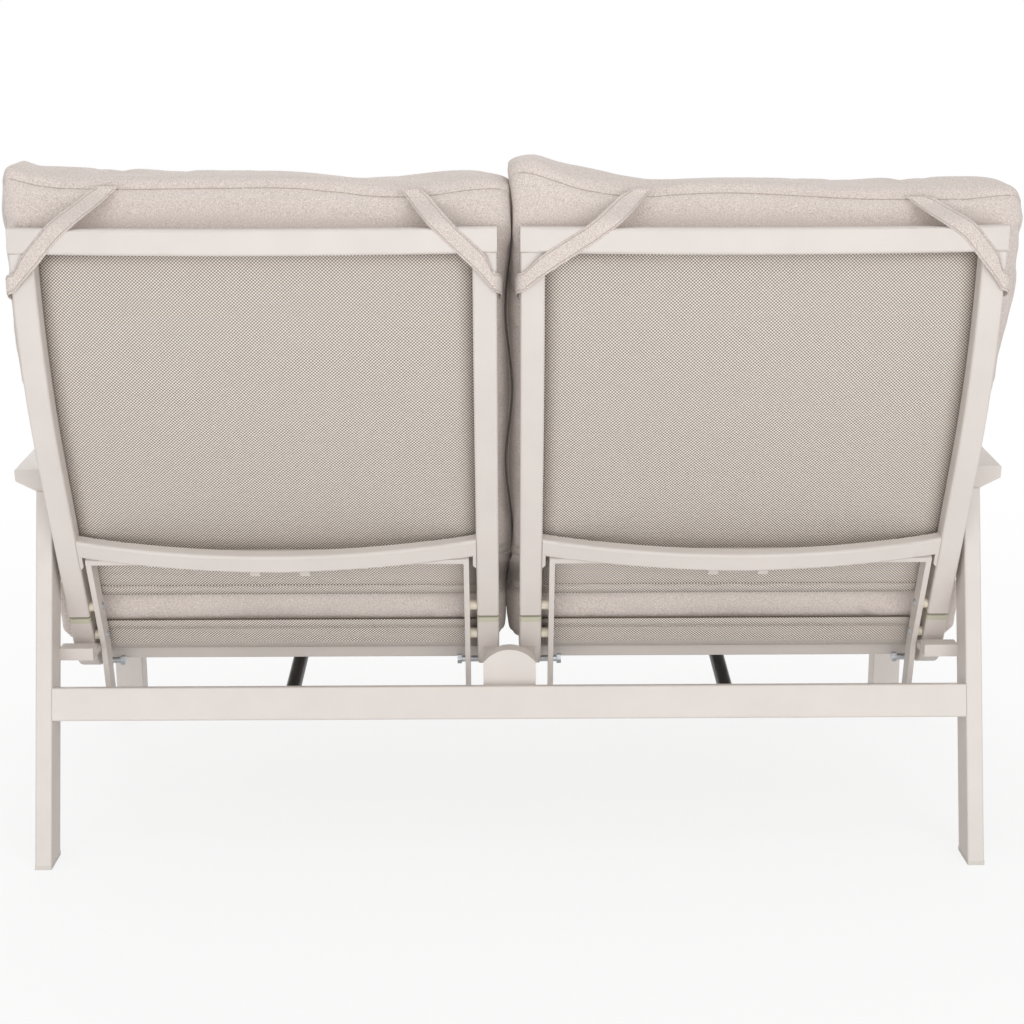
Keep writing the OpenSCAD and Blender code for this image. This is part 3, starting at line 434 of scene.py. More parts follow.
def cloth_material(name, light, dark):
    """Heather upholstery cloth: crossing slubs in two tones, a soft broad tone variation and sheen. Shade
    is painted into it in the gap where two cushions meet: darker by a share of e^(-(x / GAP_SHADE_WIDTH)^2)
    about the middle that grows from GAP_SHADE_SHARES[0] at the top, GAP_SHADE_FROM, to GAP_SHADE_SHARES[1]
    below GAP_SHADE_TO."""
    material, net, shader = base_material(name)
    vector = vector_from(net)
    linen = placed_group(net, GROUPS["linen"], vector, Size=980.0)
    vary = placed_group(net, GROUPS["variation"], vector, Scale=7.0)
    tone = ramp(net, linen.outputs["Tone"], 0.36, 0.64, linear(dark), linear(light))
    shade = ramp(net, vary.outputs["Broad"], 0.3, 0.7, (0.95, 0.95, 0.95, 1.0), (1.0, 1.0, 1.0, 1.0))
    split = net.add("ShaderNodeSeparateXYZ")
    net.wire(vector, split.inputs[0])
    near = net.sum("MULTIPLY", net.sum("ABSOLUTE", split.outputs[0]), 1 / GAP_SHADE_WIDTH)
    near = net.sum("POWER", 2.718, net.sum("MULTIPLY", net.sum("MULTIPLY", near, near), -1.0))
    low = net.fade(split.outputs[2], GAP_SHADE_FROM, GAP_SHADE_TO, *GAP_SHADE_SHARES)
    body = net.mix(1.0, tone, shade, "MULTIPLY")
    # Painted shade: the cloth is darkened in the gap between the two cushions, more so below the top rail
    gap_shaded = net.mix(net.sum("MULTIPLY", near, low), body, GAP_SHADE_COLOUR)
    net.wire(gap_shaded, shader.inputs["Base Color"])
    shader.inputs["Roughness"].default_value = 0.9
    shader.inputs["Sheen Weight"].default_value = 0.15
    bump(net, shader, linen.outputs["Height"], 0.5, 0.0007)
    return material


def metal_material(name, rgb, rough):
    """Plated or polished steel with fine scratches along one way."""
    material, net, shader = base_material(name)
    place = net.stretched(vector_from(net), (1.0, 12.0, 12.0))
    vary = placed_group(net, GROUPS["variation"], place, Scale=40.0)
    uneven(net, shader, vary, rgb, 0.8, rough, 0.2)
    shader.inputs["Metallic"].default_value = 1.0
    return material


def checked(*objects):
    """What an operator returns, or an error if a piece has no faces or no finite points."""
    for obj in objects:
        if not obj.data.polygons or not np.isfinite(coords(obj)).all():
            raise RuntimeError(f"{obj.name} could not be made")
    return {"FINISHED"}


def paint(obj, key):
    obj.data.materials.clear()
    obj.data.materials.append(PAINTS[key])


def dress(obj, key, body, node=None):
    """Turns a piece's faces outwards, gives it its finish and its body and, if it stands for a CAD
    node, hides that node."""
    outward(obj)
    paint(obj, key)
    if node:
        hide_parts(node)
    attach(obj, body)
    return obj


def screen_colour(name, description, default):
    return FloatVectorProperty(name=name, description=description, default=default, min=0, max=255)


def length(name, description, default, low, high):
    return FloatProperty(
        name=name, description=description, default=default, min=low, max=high, unit="LENGTH"
    )


# Sizes and colours a user would change
class SofaLooks(bpy.types.PropertyGroup):
    frame_colour: screen_colour("Frame colour", "Powder coat, screen colour 0-255", (216, 208, 202))
    mesh_light: screen_colour("Mesh strands", "Strand colour of the slings", (246, 238, 230))
    mesh_dark: screen_colour("Mesh gaps", "Colour between the strands", (112, 101, 90))
    cloth_light: screen_colour("Cushion light", "Light fibres of the cushions", (236, 225, 219))
    cloth_dark: screen_colour("Cushion dark", "Dark fibres of the cushions", (184, 172, 164))


class SofaSizes(bpy.types.PropertyGroup):
    cushion_voxel: length("Cushion grid", "Size of the cloth grid", 0.008, 0.004, 0.02)
    cushion_pressure: FloatProperty(
        name="Pressure", description="Air in the cushions", default=4.0, min=0, max=10
    )
    cushion_cap: length("Swell limit", "Farthest a point may move", 0.007, 0, 0.05)
    cloth_frames: IntProperty(
        name="Cloth frames", description="Steps of the cloth", default=18, min=2, max=60
    )
    hem_deep: length("Hem", "Depth of the slings' hems", 0.017, 0.005, 0.04)
    seam_deep: length("Seam depth", "How far a seam draws the cloth in", 0.0024, 0, 0.008)


# Finishes
class SOFA_OT_finishes(bpy.types.Operator):
    """Builds the materials and gives every CAD piece its own finish"""

    bl_idname = "sofa.finishes"
    bl_label = "Finishes"

    def execute(self, context):
        looks = context.scene.sofa_looks
        GROUPS.update(weave=weave_group(), variation=variation_group(), linen=linen_group())
        PAINTS.update(
            frame_paint=coat_material("powder_coat", looks.frame_colour),
            mesh=mesh_material("sling_weave", looks.mesh_light, looks.mesh_dark),
            cushion_fabric=cloth_material("cushion_heather", looks.cloth_light, looks.cloth_dark),
            cap_plastic=coat_material("cap_plastic", (200, 197, 177), 0.5),
            glide_plastic=coat_material("glide_plastic", (205, 200, 192), 0.5),
            spacer_plastic=coat_material("spacer_plastic", (236, 228, 208), 0.4),
            zinc=metal_material("zinc_plate", (222, 227, 232), 0.32),
            black_steel=coat_material("black_paint", (30, 30, 31), 0.3, 0.1),
            rod_steel=metal_material("dark_rod", (60, 60, 62), 0.15),
            # Dark colour of the strand that paints the shadow line along the seat slings' top edge
            edge=coat_material("sling_edge_shadow_line", (92, 78, 66), 0.7),
            thread=coat_material("stitch_thread", (205, 194, 182), 0.7),
            seam=coat_material("seam_thread", (176, 163, 154), 0.85),
        )
        slots = {s["node"]: s["material_slot"] for s in frame["record"]["subparts"]}
        for name, obj in frame["nodes"].items():
            paint(obj, slots[name])
        return checked(*frame["nodes"].values())


# Slings: their thickness and set-back below the rails' face, where they start and end along the
# rails, the second layer of their hems, the stitches and the dark strand that paints the shadow line
# along the seat slings' top edge
SLING_THICK, SLING_SET = 1.2 * MM, 0.3 * MM
SLING_COLUMNS = 25
BACK_SLING_LOW, SEAT_SLING_LOW = 24 * MM, 27 * MM
TOP_RAIL_DEEP = 36 * MM
HEM_GAP, HEM_INSET = 0.1 * MM, 1 * MM
STITCH_PITCH, STITCH_HALF, STITCH_THICK = 4.5 * MM, 1.485 * MM, 0.6 * MM
STITCH_SET, STITCH_INSET, STITCH_EDGE = 1.5 * MM, 3 * MM, 2 * MM
# Radius and set-back of the dark strand that paints the shadow line along the seat slings' top edge
SHADOW_LINE_THICK, SHADOW_LINE_SET = 1.2 * MM, 0.7 * MM


def run_through(stops, counts):
    """Lengths from stop to stop: between two of them lie as many values as the count says, both
    stops included."""
    parts = [np.linspace(a, b, n)[:-1] for a, b, n in zip(stops, stops[1:], counts)]
    return np.append(np.concatenate(parts), stops[-1])


def sheet_length(place, along, depth):
    """Length of a sheet laid flat: the sum of the steps between its rows."""
    y, z = place(along * 0 + depth, along)
    return float(np.hypot(np.diff(y), np.diff(z)).sum())


def moved(points, side):
    """Puts points that were made about the seat's middle on the left or right seat."""
    points = np.array(points, float)
    points[:, 0] = side * (points[:, 0] + SEAT_MID)
    return points


def sling_piece(name, place, along, half_x, thick, side):
    """A stretched sheet of two layers: point (u, v) lies at x = u and at place(depth, v), with one
    depth for each layer, and quads join the layers round the edge. UV is (u, v) in metres."""
    u, v = np.meshgrid(np.linspace(-half_x, half_x, SLING_COLUMNS), along)
    near, far = (np.stack([u, *place(v * 0 + depth, v)], -1) for depth in thick)
    flat = np.stack([u, v], -1)
    rows, cols = len(along), 2 * SLING_COLUMNS
    points = np.concatenate([near, far[:, ::-1]], 1).reshape(-1, 3)
    uv = np.concatenate([flat, flat[:, ::-1]], 1).reshape(-1, 2)
    j = np.arange(SLING_COLUMNS - 1)
    end = np.stack([j, j + 1, cols - 2 - j, cols - 1 - j], -1)
    faces = np.vstack([grid_faces(rows, cols, True), end[:, ::-1], end + (rows - 1) * cols])
    return new_object(name, moved(points, side), faces, True, uv)


def stitch_row(place, depth, at, half_x):
    """A row of short stitches: stitch i is centred at x = i * STITCH_PITCH from the middle."""
    count = int(2 * half_x / STITCH_PITCH)
    xs = (np.arange(count) - (count - 1) / 2) * STITCH_PITCH
    y, z = (float(c) for c in place(depth, at))
    ends = np.array([[-STITCH_HALF, y, z], [STITCH_HALF, y, z]])
    return joined([tube(ends + (x, 0, 0), STITCH_THICK, 5) for x in xs])


def shadow_line_strand(place, depth, at):
    """A dark strand along a sling's top edge that paints the shadow line there: a straight tube from side
    to side.
    """
    y, z = (float(c) for c in place(depth, at))
    xs = np.linspace(-HALF_IN + MM, HALF_IN - MM, 30)
    return tube(np.stack([xs, xs * 0 + y, xs * 0 + z], 1), SHADOW_LINE_THICK, 8)


class SOFA_OT_slings(bpy.types.Operator):
    """Makes the woven back and seat slings with their hems and stitches"""

    bl_idname = "sofa.slings"
    bl_label = "Slings"

    def execute(self, context):
        hem = context.scene.sofa_sizes.hem_deep
        face = DEEP - SLING_SET
        thick = (face - SLING_THICK, face)
        behind = (thick[0] - HEM_GAP - SLING_THICK, thick[0] - HEM_GAP)
        turned = UPRIGHT + RAIL_BEND * RAIL_TURN
        top = STRAIGHT + BEND * LEAN - TOP_RAIL_DEEP
        back_run = run_through((BACK_SLING_LOW, STRAIGHT, top), (10, 16))
        seat_run = run_through((SEAT_SLING_LOW, UPRIGHT, turned, turned + RAIL_LONG), (4, 12, 10))
        for side, sx in SIDES:
            for name, body, place, along, bars in (
                ("back", side + "_back", back_place, back_run, "stile"),
                ("seat", "frame", seat_place, seat_run, "seat_rail"),
            ):
                start = f"{side}_{name}_"
                cloth = sling_piece(start + "sling_cloth", place, along, HALF_IN, thick, sx)
                dress(cloth, "mesh", body, start + "sling")
                rows = along[0] + np.linspace(0, hem, 3)
                band = sling_piece(start + "hem", place, rows, HALF_IN - HEM_INSET, behind, sx)
                pieces = [dress(band, "mesh", body)]
                at = along[0] + hem - STITCH_EDGE
                row = stitch_row(place, thick[0] - STITCH_SET, at, HALF_IN - STITCH_INSET)
                extra = [("hem_stitches", "thread", row)]
                if name == "seat":
                    # Painted shadow: a dark strand along the seat sling's top edge stands for the shadow
                    # line under the cushion
                    shadow_line = shadow_line_strand(place, thick[0] - SHADOW_LINE_SET, along[0] - MM)
                    extra.append(("sling_edge_shadow_line", "edge", shadow_line))
                for part, key, (points, faces) in extra:
                    obj = new_object(start + part, moved(points, sx), faces)
                    pieces.append(dress(obj, key, body))
                flat = (2 * HALF_IN, sheet_length(place, along, sum(thick) / 2))
                checked(cloth, *pieces)
        return {"FINISHED"}


# Cushions: the back ones' heights, thickness, crown, wings above the armrests and the rise and
# dip of their tops, and the seat ones' run in front of and behind the rails' bend
BACK_Z = (425 * MM, 1024 * MM)
BACK_THICK, BACK_CROWN = 132 * MM, 16 * MM
WING, WING_FROM, WING_OVER = 27 * MM, 0.64, 0.09
LOW_WIDER, LOW_FROM, LOW_OVER = 6 * MM, 0.54, 0.04
CORNER_RISE, INNER_DIP = 14 * MM, 8 * MM
SEAT_THICK, SEAT_CROWN = 130 * MM, 14 * MM
SEAT_RUN = (454 * MM, 29 * MM)
SEAT_BULGE, BULGE_BEFORE, BULGE_OVER = 26 * MM, 100 * MM, 80 * MM
SEAT_LEAN = 12 * MM
SEAT_WIDER = 1.5 * MM
INNER_SIDE = 1.5 * MM
SET_OFF = 0.4 * MM

# Cloth settings of the stuffed forms
STUFFING = {
    "quality": 4,
    "mass": 0.4,
    "tension_stiffness": 12,
    "compression_stiffness": 8,
    "shear_stiffness": 4,
    "bending_stiffness": 0.8,
    "use_pressure": True,
    "shrink_min": -0.02,
}

# Seams: how far below the top and above the bottom of a back cushion they run, how far they tuck
# in at its corners, the width they draw in and their thread
SEAM_TOP, SEAM_BOTTOM = 19 * MM, 22 * MM
SEAM_TUCK = 18 * MM
SEAM_REACH = 4.5 * MM
THREAD = 0.6 * MM
SEAM_EXPONENT = 36
SEAT_SEAM_SHARES = (0.9, 0.1)

# Folds and pressing: length and depth of the shallow folds and the first seeds of their draws,
# and the band within which a cushion is pressed against what it rests on
BACK_FOLDS, SEAT_FOLDS = (170 * MM, 2.2 * MM), (180 * MM, 2.0 * MM)
BACK_SEED, SEAT_SEED = 11, 31
PRESS_BAND = 3 * MM

# The faces where two cushions meet: a wave of this height and length about the middle, and how
# far each stands off it
MEET_WAVE, MEET_LENGTH, MEET_OFF = 5 * MM, 240 * MM, 0.3 * MM


def smooth_step(t):
    """0 below 0, 1 above 1, and 3 t^2 - 2 t^3 between."""
    t = np.clip(t, 0, 1)
    return t * t * (3 - 2 * t)


def full(q, e):
    """Fullness of a stuffed form at a share q of its half size: (1 - |q|^e)^(1/e)."""
    return np.maximum(0, 1 - np.abs(q) ** e) ** (1 / e)


def cushion_rings(cols=61, rows=71):
    """Rings of a stuffed box: q runs along it and s across it, both closer at the ends; one side
    is flat (+1 times a fullness of exponent 9), the other soft (-1 times one of exponent 4.2).
    Returns q (rows), s (rows, ring) and the side (rows, ring) in -1..1."""
    q = 0.9985 * np.sin(np.linspace(-np.pi / 2, np.pi / 2, rows))
    s = np.sin(np.linspace(-np.pi / 2, np.pi / 2, cols))
    ring_s = np.concatenate([s, s[-2:0:-1]])
    ring_b = np.concatenate([full(s, 9), -full(s[-2:0:-1], 4.2)])
    return q, np.tile(ring_s, (rows, 1)), np.tile(ring_b, (rows, 1))


def crowned(b, q, share):
    """Sides of the rings at q: both drawn in by a fullness of exponent 7, and the soft one fuller
    by twice the share times a fullness of exponent 2."""
    f = full(q, 7)[:, None]
    crown = 1 + share * full(q, 2)[:, None]
    return np.where(b > 0, b * f, b * f * (2 * crown - 1))


def ring_mesh(name, points):
    """Closed skin over rings of points (rows, cols, 3)."""
    obj = new_object(name, points.reshape(-1, 3), ring_faces(*points.shape[:2]))
    outward(obj)
    return obj


def lean_at(z):
    return np.arcsin(np.clip((TOP_Z - np.asarray(z, float)) / BEND, 0, math.sin(LEAN)))


def back_limits(z):
    """Inner side, outer side and rear face of a back cushion at a height."""
    wing = (WING + 0.5 * MM) * smooth_step((z - WING_FROM) / WING_OVER) - 0.5 * MM
    outer = SEAT_MID + HALF_OUT + wing + LOW_WIDER * smooth_step((LOW_FROM - z) / LOW_OVER)
    return INNER_SIDE, outer, stile_rear(z) - (DEEP + SET_OFF) / np.cos(lean_at(z))


def top_rise(q, s):
    """Rise of a back cushion's top: CORNER_RISE * s^4 towards the corners less a dip of INNER_DIP
    round s = -0.55, both growing from q = 0.55 to the top."""
    dip = np.exp(-(((s + 0.55) / 0.55) ** 2) * 6)
    return smooth_step((q - 0.55) / 0.45) * (CORNER_RISE * s**4 - INNER_DIP * dip)


def back_form(name):
    """Back cushion: level rings that follow the stiles, wider above the armrests."""
    q, s, b = cushion_rings()
    mid, half = sum(BACK_Z) / 2, (BACK_Z[1] - BACK_Z[0]) / 2
    low = (mid + half * q)[:, None]
    inner, outer, _ = back_limits(low)
    centre, wide = (outer + inner) / 2, (outer - inner) / 2
    share = s * full(q, 15)[:, None]
    b = crowned(b, q, BACK_CROWN / BACK_THICK)
    z = low + top_rise(q[:, None], share)
    _, _, rear = back_limits(z)
    deep = BACK_THICK / 2 / np.cos(lean_at(z))
    return ring_mesh(name, np.stack([centre + wide * share, rear - deep + deep * b, z + 0 * share], -1))


# The photographed tops: places from the sofa's middle and heights there in mm, the place, width,
# height and foot of the corner that is pulled up to an ear, and how much wider each top is
TOP_SHAPES = {
    "left": ((0.02, 0.14, 0.30, 0.48, 0.66), (-8, -3, 5, 2, 1)),
    "right": ((0.02, 0.06, 0.19, 0.28, 0.47, 0.66), (12, 7, -4, -3, -13, -18)),
}
EARS = {"left": (0.694, 0.019, 16 * MM, 0.965), "right": (0.030, 0.030, 9 * MM, 1.0)}
TOP_WIDER = {"left": -3 * MM, "right": 12 * MM}


def top_shift(side, x):
    """How far the top of each back cushion stands above or below its even form: straight runs
    between the values in mm that are listed above, at distances from the sofa's middle."""
    places, heights = TOP_SHAPES[side]
    return np.interp(x, places, heights) * MM


def shift_top(side, co, pull=1.0):
    """Raises or lowers the part above 0.90 m, fading in over 0.11 m, averaged over 50 mm, widens
    the outer half above 0.74 m, fading in over 0.12 m, and pulls one corner up to an ear: pull
    times its height times e^(-((x - place) / width)^2), fading in over 25 mm from its own foot."""
    x = co[:, 0].copy()
    mean = sum(top_shift(side, x + d) for d in np.linspace(-0.025, 0.025, 7)) / 7
    co[:, 0] += TOP_WIDER[side] * smooth_step((x - SEAT_MID) / 0.3) * smooth_step((co[:, 2] - 0.74) / 0.12)
    place, width, tall, foot = EARS[side]
    ear = pull * tall * np.exp(-(((x - place) / width) ** 2)) * smooth_step((co[:, 2] - foot) / 0.025)
    co[:, 2] += mean * smooth_step((co[:, 2] - 0.90) / 0.11) + ear
    return co


def seat_frame():
    """Start of the straight seat rails (y, z) and their slope."""
    y, z = seat_place(0.0, UPRIGHT + RAIL_BEND * RAIL_TURN)
    return float(y), float(z), LEAN + RAIL_TURN - math.pi / 2


def seat_world(run, up):
    """Run forward along the seat rails and height square to them as (y, z)."""
    y0, z0, slope = seat_frame()
    return (
        y0 - run * math.cos(slope) + up * math.sin(slope),
        z0 + run * math.sin(slope) + up * math.cos(slope),
    )


def bulge(run):
    """Outward bulge of a seat cushion between the legs: SEAT_BULGE, easing to nothing over
    BULGE_OVER before the front legs."""
    return SEAT_BULGE * smooth_step((SEAT_RUN[0] - BULGE_BEFORE - run) / BULGE_OVER)


def seat_form(name):
    """Seat cushion: upright rings along x in the rails' frame, flat below, crowned above, with a
    rear face that leans back by SEAT_LEAN towards its lower edge."""
    q, s, b = cushion_rings()
    inner, outer = INNER_SIDE, SEAT_MID + HALF_OUT + SEAT_WIDER
    x = ((inner + outer) / 2 + (outer - inner) / 2 * q)[:, None]
    mid, half = (SEAT_RUN[1] - SEAT_RUN[0]) / 2, sum(SEAT_RUN) / 2
    run = s * half * full(q, 24)[:, None]
    b = crowned(b, q, SEAT_CROWN / SEAT_THICK)
    up = DEEP + SET_OFF + SEAT_THICK / 2 * (1 - b)
    back = mid + run - SEAT_LEAN * b * smooth_step(run / half)
    y, z = seat_world(-back, up)
    x = x + bulge(-mid - run) * np.maximum(0, q)[:, None] ** 3
    return ring_mesh(name, np.stack([x, y, z], -1))


def swell(obj, sizes):
    """Cloth: the form is remeshed to an even grid, blown up a little with gravity off, and no
    point may move farther than the limit."""
    remesh = obj.modifiers.new("even", "REMESH")
    remesh.mode = "VOXEL"
    remesh.voxel_size = sizes.cushion_voxel
    apply_modifiers(obj)
    rest = coords(obj)
    cloth = obj.modifiers.new("stuffing", "CLOTH")
    for key, value in STUFFING.items():
        setattr(cloth.settings, key, value)
    cloth.settings.uniform_pressure_force = sizes.cushion_pressure
    cloth.settings.effector_weights.gravity = 0
    cloth.collision_settings.use_collision = False
    cloth.point_cache.frame_start = 1
    cloth.point_cache.frame_end = sizes.cloth_frames + 1
    scene = bpy.context.scene
    for f in range(1, sizes.cloth_frames + 1):
        scene.frame_set(f)
    graph = bpy.context.evaluated_depsgraph_get()
    mesh = bpy.data.meshes.new_from_object(obj.evaluated_get(graph))
    done = np.zeros(len(mesh.vertices) * 3, np.float32)
    mesh.vertices.foreach_get("co", done)
    bpy.data.meshes.remove(mesh)
    obj.modifiers.clear()
    scene.frame_set(1)
    move = done.reshape(-1, 3) - rest
    length = np.linalg.norm(move, axis=1, keepdims=True)
    cap = sizes.cushion_cap
    move *= np.minimum(1, cap * np.tanh(length / cap) / np.maximum(length, 1e-9))
    set_coords(obj, rest + move)


def ripples(co, normals, seed, size, depth):
    """Shallow folds: the mean of 14 plane waves with seeded directions, lengths and strengths."""
    rng = np.random.default_rng(seed)
    out = np.zeros(len(co))
    for k in range(14):
        way = rng.normal(size=3)
        way /= np.linalg.norm(way)
        length = size * rng.uniform(0.5, 1.8)
        out += np.sin(co @ way * 2 * np.pi / length + rng.uniform(0, 6.28)) * rng.uniform(0.3, 1.0)
    return co + normals * (out / 14 * depth * 3)[:, None]


def normals_of(obj):
    n = np.zeros(len(obj.data.vertices) * 3, np.float32)
    obj.data.vertex_normals.foreach_get("vector", n)
    return n.reshape(-1, 3).astype(float)


def soft_limit(value, limit, band):
    """value, pressed softly against an upper limit: within band of it the rest is squeezed."""
    over = (value - (limit - band)) / band
    return np.where(over > 0, limit - band + band * (1 - np.exp(-np.maximum(over, 0))), value)


def smooth_all(obj):
    obj.data.polygons.foreach_set("use_smooth", [True] * len(obj.data.polygons))


def pinch(co, normals, path, depth, reach):
    """Draws the surface in along a seam: depth * exp(-(d / reach)^2) at distance d from the path,
    with a slight puff of a quarter of that beside it."""
    d = np.concatenate([
        np.sqrt(((part[:, None] - path[None]) ** 2).sum(-1).min(1)) for part in np.array_split(co, 100)
    ])
    puff = 0.25 * depth * np.exp(-(((d - 3 * reach) / (1.5 * reach)) ** 2))
    return co + normals * (puff - depth * np.exp(-((d / reach) ** 2)))[:, None]


def on_surface(obj, path, lift=0.0):
    """Nearest points of an object's surface to a path, moved out along the surface's normal."""
    faces = [list(p.vertices) for p in obj.data.polygons]
    tree = BVHTree.FromPolygons([v.co for v in obj.data.vertices], faces)
    out = []
    for p in path:
        place, normal, _, _ = tree.find_nearest(Vector(p))
        out.append(place + normal * lift)
    return np.array(out)


def evened(path, times):
    """A closed path with each point moved to the mean of itself and its neighbours, some times."""
    for _ in range(times):
        path = (np.roll(path, 1, 0) + 2 * path + np.roll(path, -1, 0)) / 4
    return path


def finish_cushion(obj, node, body, side, seams):
    """One subdivision, the seams with their threads, the side, the cloth, and the links that put
    the cushion in the CAD one's place."""
    sizes = bpy.context.scene.sofa_sizes
    sub = obj.modifiers.new("fine", "SUBSURF")
    sub.levels = sub.render_levels = 1
    apply_modifiers(obj)
    threads = []
    for path in seams:
        line = evened(on_surface(obj, path), 6)
        set_coords(obj, pinch(coords(obj), normals_of(obj), line, sizes.seam_deep, SEAM_REACH))
        threads.append(tube(evened(on_surface(obj, line, 0.1 * MM), 2), THREAD, 6, True))
    set_coords(obj, coords(obj) * (side, 1, 1))
    smooth_all(obj)
    points, faces = joined(threads)
    thread = new_object(node + "_seams", points * (side, 1, 1), faces)
    dress(thread, "seam", body)
    dress(obj, "cushion_fabric", body, node)
    checked(obj, thread)


def seam_loop(count=420):
    """Rounded rectangle |s|^e + |q|^e = 1 with e = SEAM_EXPONENT, cut into equal lengths: s and q."""
    a = np.linspace(0, 2 * np.pi, 8000, endpoint=False)
    s, q = (np.sign(v) * np.abs(v) ** (2 / SEAM_EXPONENT) for v in (np.cos(a), np.sin(a)))
    run = np.concatenate([[0], np.cumsum(np.hypot(np.diff(s), np.diff(q)))])
    at = np.linspace(0, run[-1], count, endpoint=False)
    return np.interp(at, run, s), np.interp(at, run, q)


def back_seams():
    """Loops round the rear and front faces of a back cushion, SEAM_TOP below its top. They lie
    a little outside it, and are then moved to its surface."""
    s, q = seam_loop()
    tall = BACK_Z[1] - BACK_Z[0] - SEAM_TOP - SEAM_BOTTOM
    low = BACK_Z[0] + SEAM_BOTTOM + tall * (q + 1) / 2
    inner, outer, _ = back_limits(low)
    x = (inner + outer) / 2 + (outer - inner + 8 * MM) / 2 * s
    z = low + top_rise(q, s)
    rear = back_limits(z)[2]
    deep = (BACK_THICK + 10 * MM) / np.cos(lean_at(z))
    tuck = SEAM_TUCK * smooth_step((np.abs(s) - 0.93) / 0.07)
    return [np.stack([x, rear - tuck, z], 1), np.stack([x, rear - deep + tuck, z], 1)]


def seat_seams():
    """Loops round the sides of a seat cushion, near its upper and lower edges."""
    s, q = seam_loop()
    mid, half = (SEAT_RUN[0] - SEAT_RUN[1]) / 2, sum(SEAT_RUN) / 2 + 6 * MM
    x = (SEAT_MID + HALF_OUT) / 2 * (1 + 1.02 * s) + bulge(mid + half * q) * np.maximum(0, s) ** 3
    loops = []
    for share in SEAT_SEAM_SHARES:
        y, z = seat_world(mid + half * q, DEEP + SEAT_THICK * share)
        loops.append(np.stack([x, y, z], 1))
    return loops


def spread(co, inner, outer):
    """Stretches a cushion along x from its seat's middle out to its inner and outer sides."""
    x = co[:, 0] - SEAT_MID
    low, high = np.percentile(x, 0.4), np.percentile(x, 99.6)
    x = np.where(x < 0, x * (inner - SEAT_MID) / low, x * (outer - SEAT_MID) / high)
    co[:, 0] = x + SEAT_MID
    return co


def press_out(co, normals, limit, share):
    """Fills a cushion's outer side: points that face outwards move a share of the way to the
    limit, and none lies beyond it."""
    face = smooth_step((normals[:, 0] - 0.05) / 0.45) * (co[:, 0] > SEAT_MID + 0.2)
    out = co[:, 0] + share * face * np.maximum(limit - co[:, 0], 0)
    co[:, 0] = soft_limit(out, limit, 2 * MM)
    return co


def relaxed(obj, co, share, times):
    """Each point moved half its share of the way to the mean of its neighbours, some times."""
    ends = np.zeros(len(obj.data.edges) * 2, np.int32)
    obj.data.edges.foreach_get("vertices", ends)
    a, b = ends.reshape(-1, 2).T
    count = np.bincount(np.concatenate([a, b]), minlength=len(co))[:, None]
    for _ in range(times):
        mean = np.zeros_like(co)
        np.add.at(mean, a, co[b])
        np.add.at(mean, b, co[a])
        co = co + (mean / count - co) * share[:, None] / 2
    return co


def nestle(co, normals, side, more=0.0):
    """Lets two cushions press together: the part of the inner side that faces the middle moves to
    a face that follows MEET_WAVE * sin(2 pi r / MEET_LENGTH), r being the distance from the
    pivots, so that the two stay twice MEET_OFF apart while either back turns. more is added."""
    pivot = back_place(12.5 * MM, -44 * MM)
    r = np.hypot(co[:, 1] - pivot[0], co[:, 2] - pivot[1])
    limit = side * MEET_WAVE * np.sin(2 * np.pi * r / MEET_LENGTH) + MEET_OFF + more
    face = smooth_step((-normals[:, 0] - 0.3) / 0.45) * (co[:, 0] < 0.05)
    near = np.exp(-np.maximum(co[:, 0], 0) / 0.04)
    x = co[:, 0] + (limit - INNER_SIDE) * near * (1 - face)
    co[:, 0] = np.maximum(x * (1 - face) + limit * face, limit)
    return co


class SOFA_OT_back_cushions(bpy.types.Operator):
    """Makes the two stuffed back cushions"""

    bl_idname = "sofa.back_cushions"
    bl_label = "Back cushions"

    def execute(self, context):
        sizes = context.scene.sofa_sizes
        for k, (side, sx) in enumerate(SIDES):
            obj = back_form(side + "_back_cushion_cloth")
            swell(obj, sizes)
            co = ripples(coords(obj), normals_of(obj), BACK_SEED + k, *BACK_FOLDS)
            co = spread(co, INNER_SIDE, SEAT_MID + HALF_OUT + WING - 2 * MM)
            _, outer, rear = back_limits(co[:, 2])
            co[:, 1] = soft_limit(co[:, 1], rear, PRESS_BAND)
            set_coords(obj, co)
            co = press_out(co, normals_of(obj), outer, 0.6 * smooth_step((0.62 - co[:, 2]) / 0.1))
            near = smooth_step((co[:, 0] - SEAT_MID - HALF_OUT + 0.05) / 0.03)
            co = relaxed(obj, co, near * (co[:, 2] < 0.7), 8)
            set_coords(obj, nestle(shift_top(side, co), normals_of(obj), sx))
            seams = [shift_top(side, seam, 0.35) for seam in back_seams()]
            finish_cushion(obj, side + "_back_cushion", side + "_back", sx, seams)
        return {"FINISHED"}


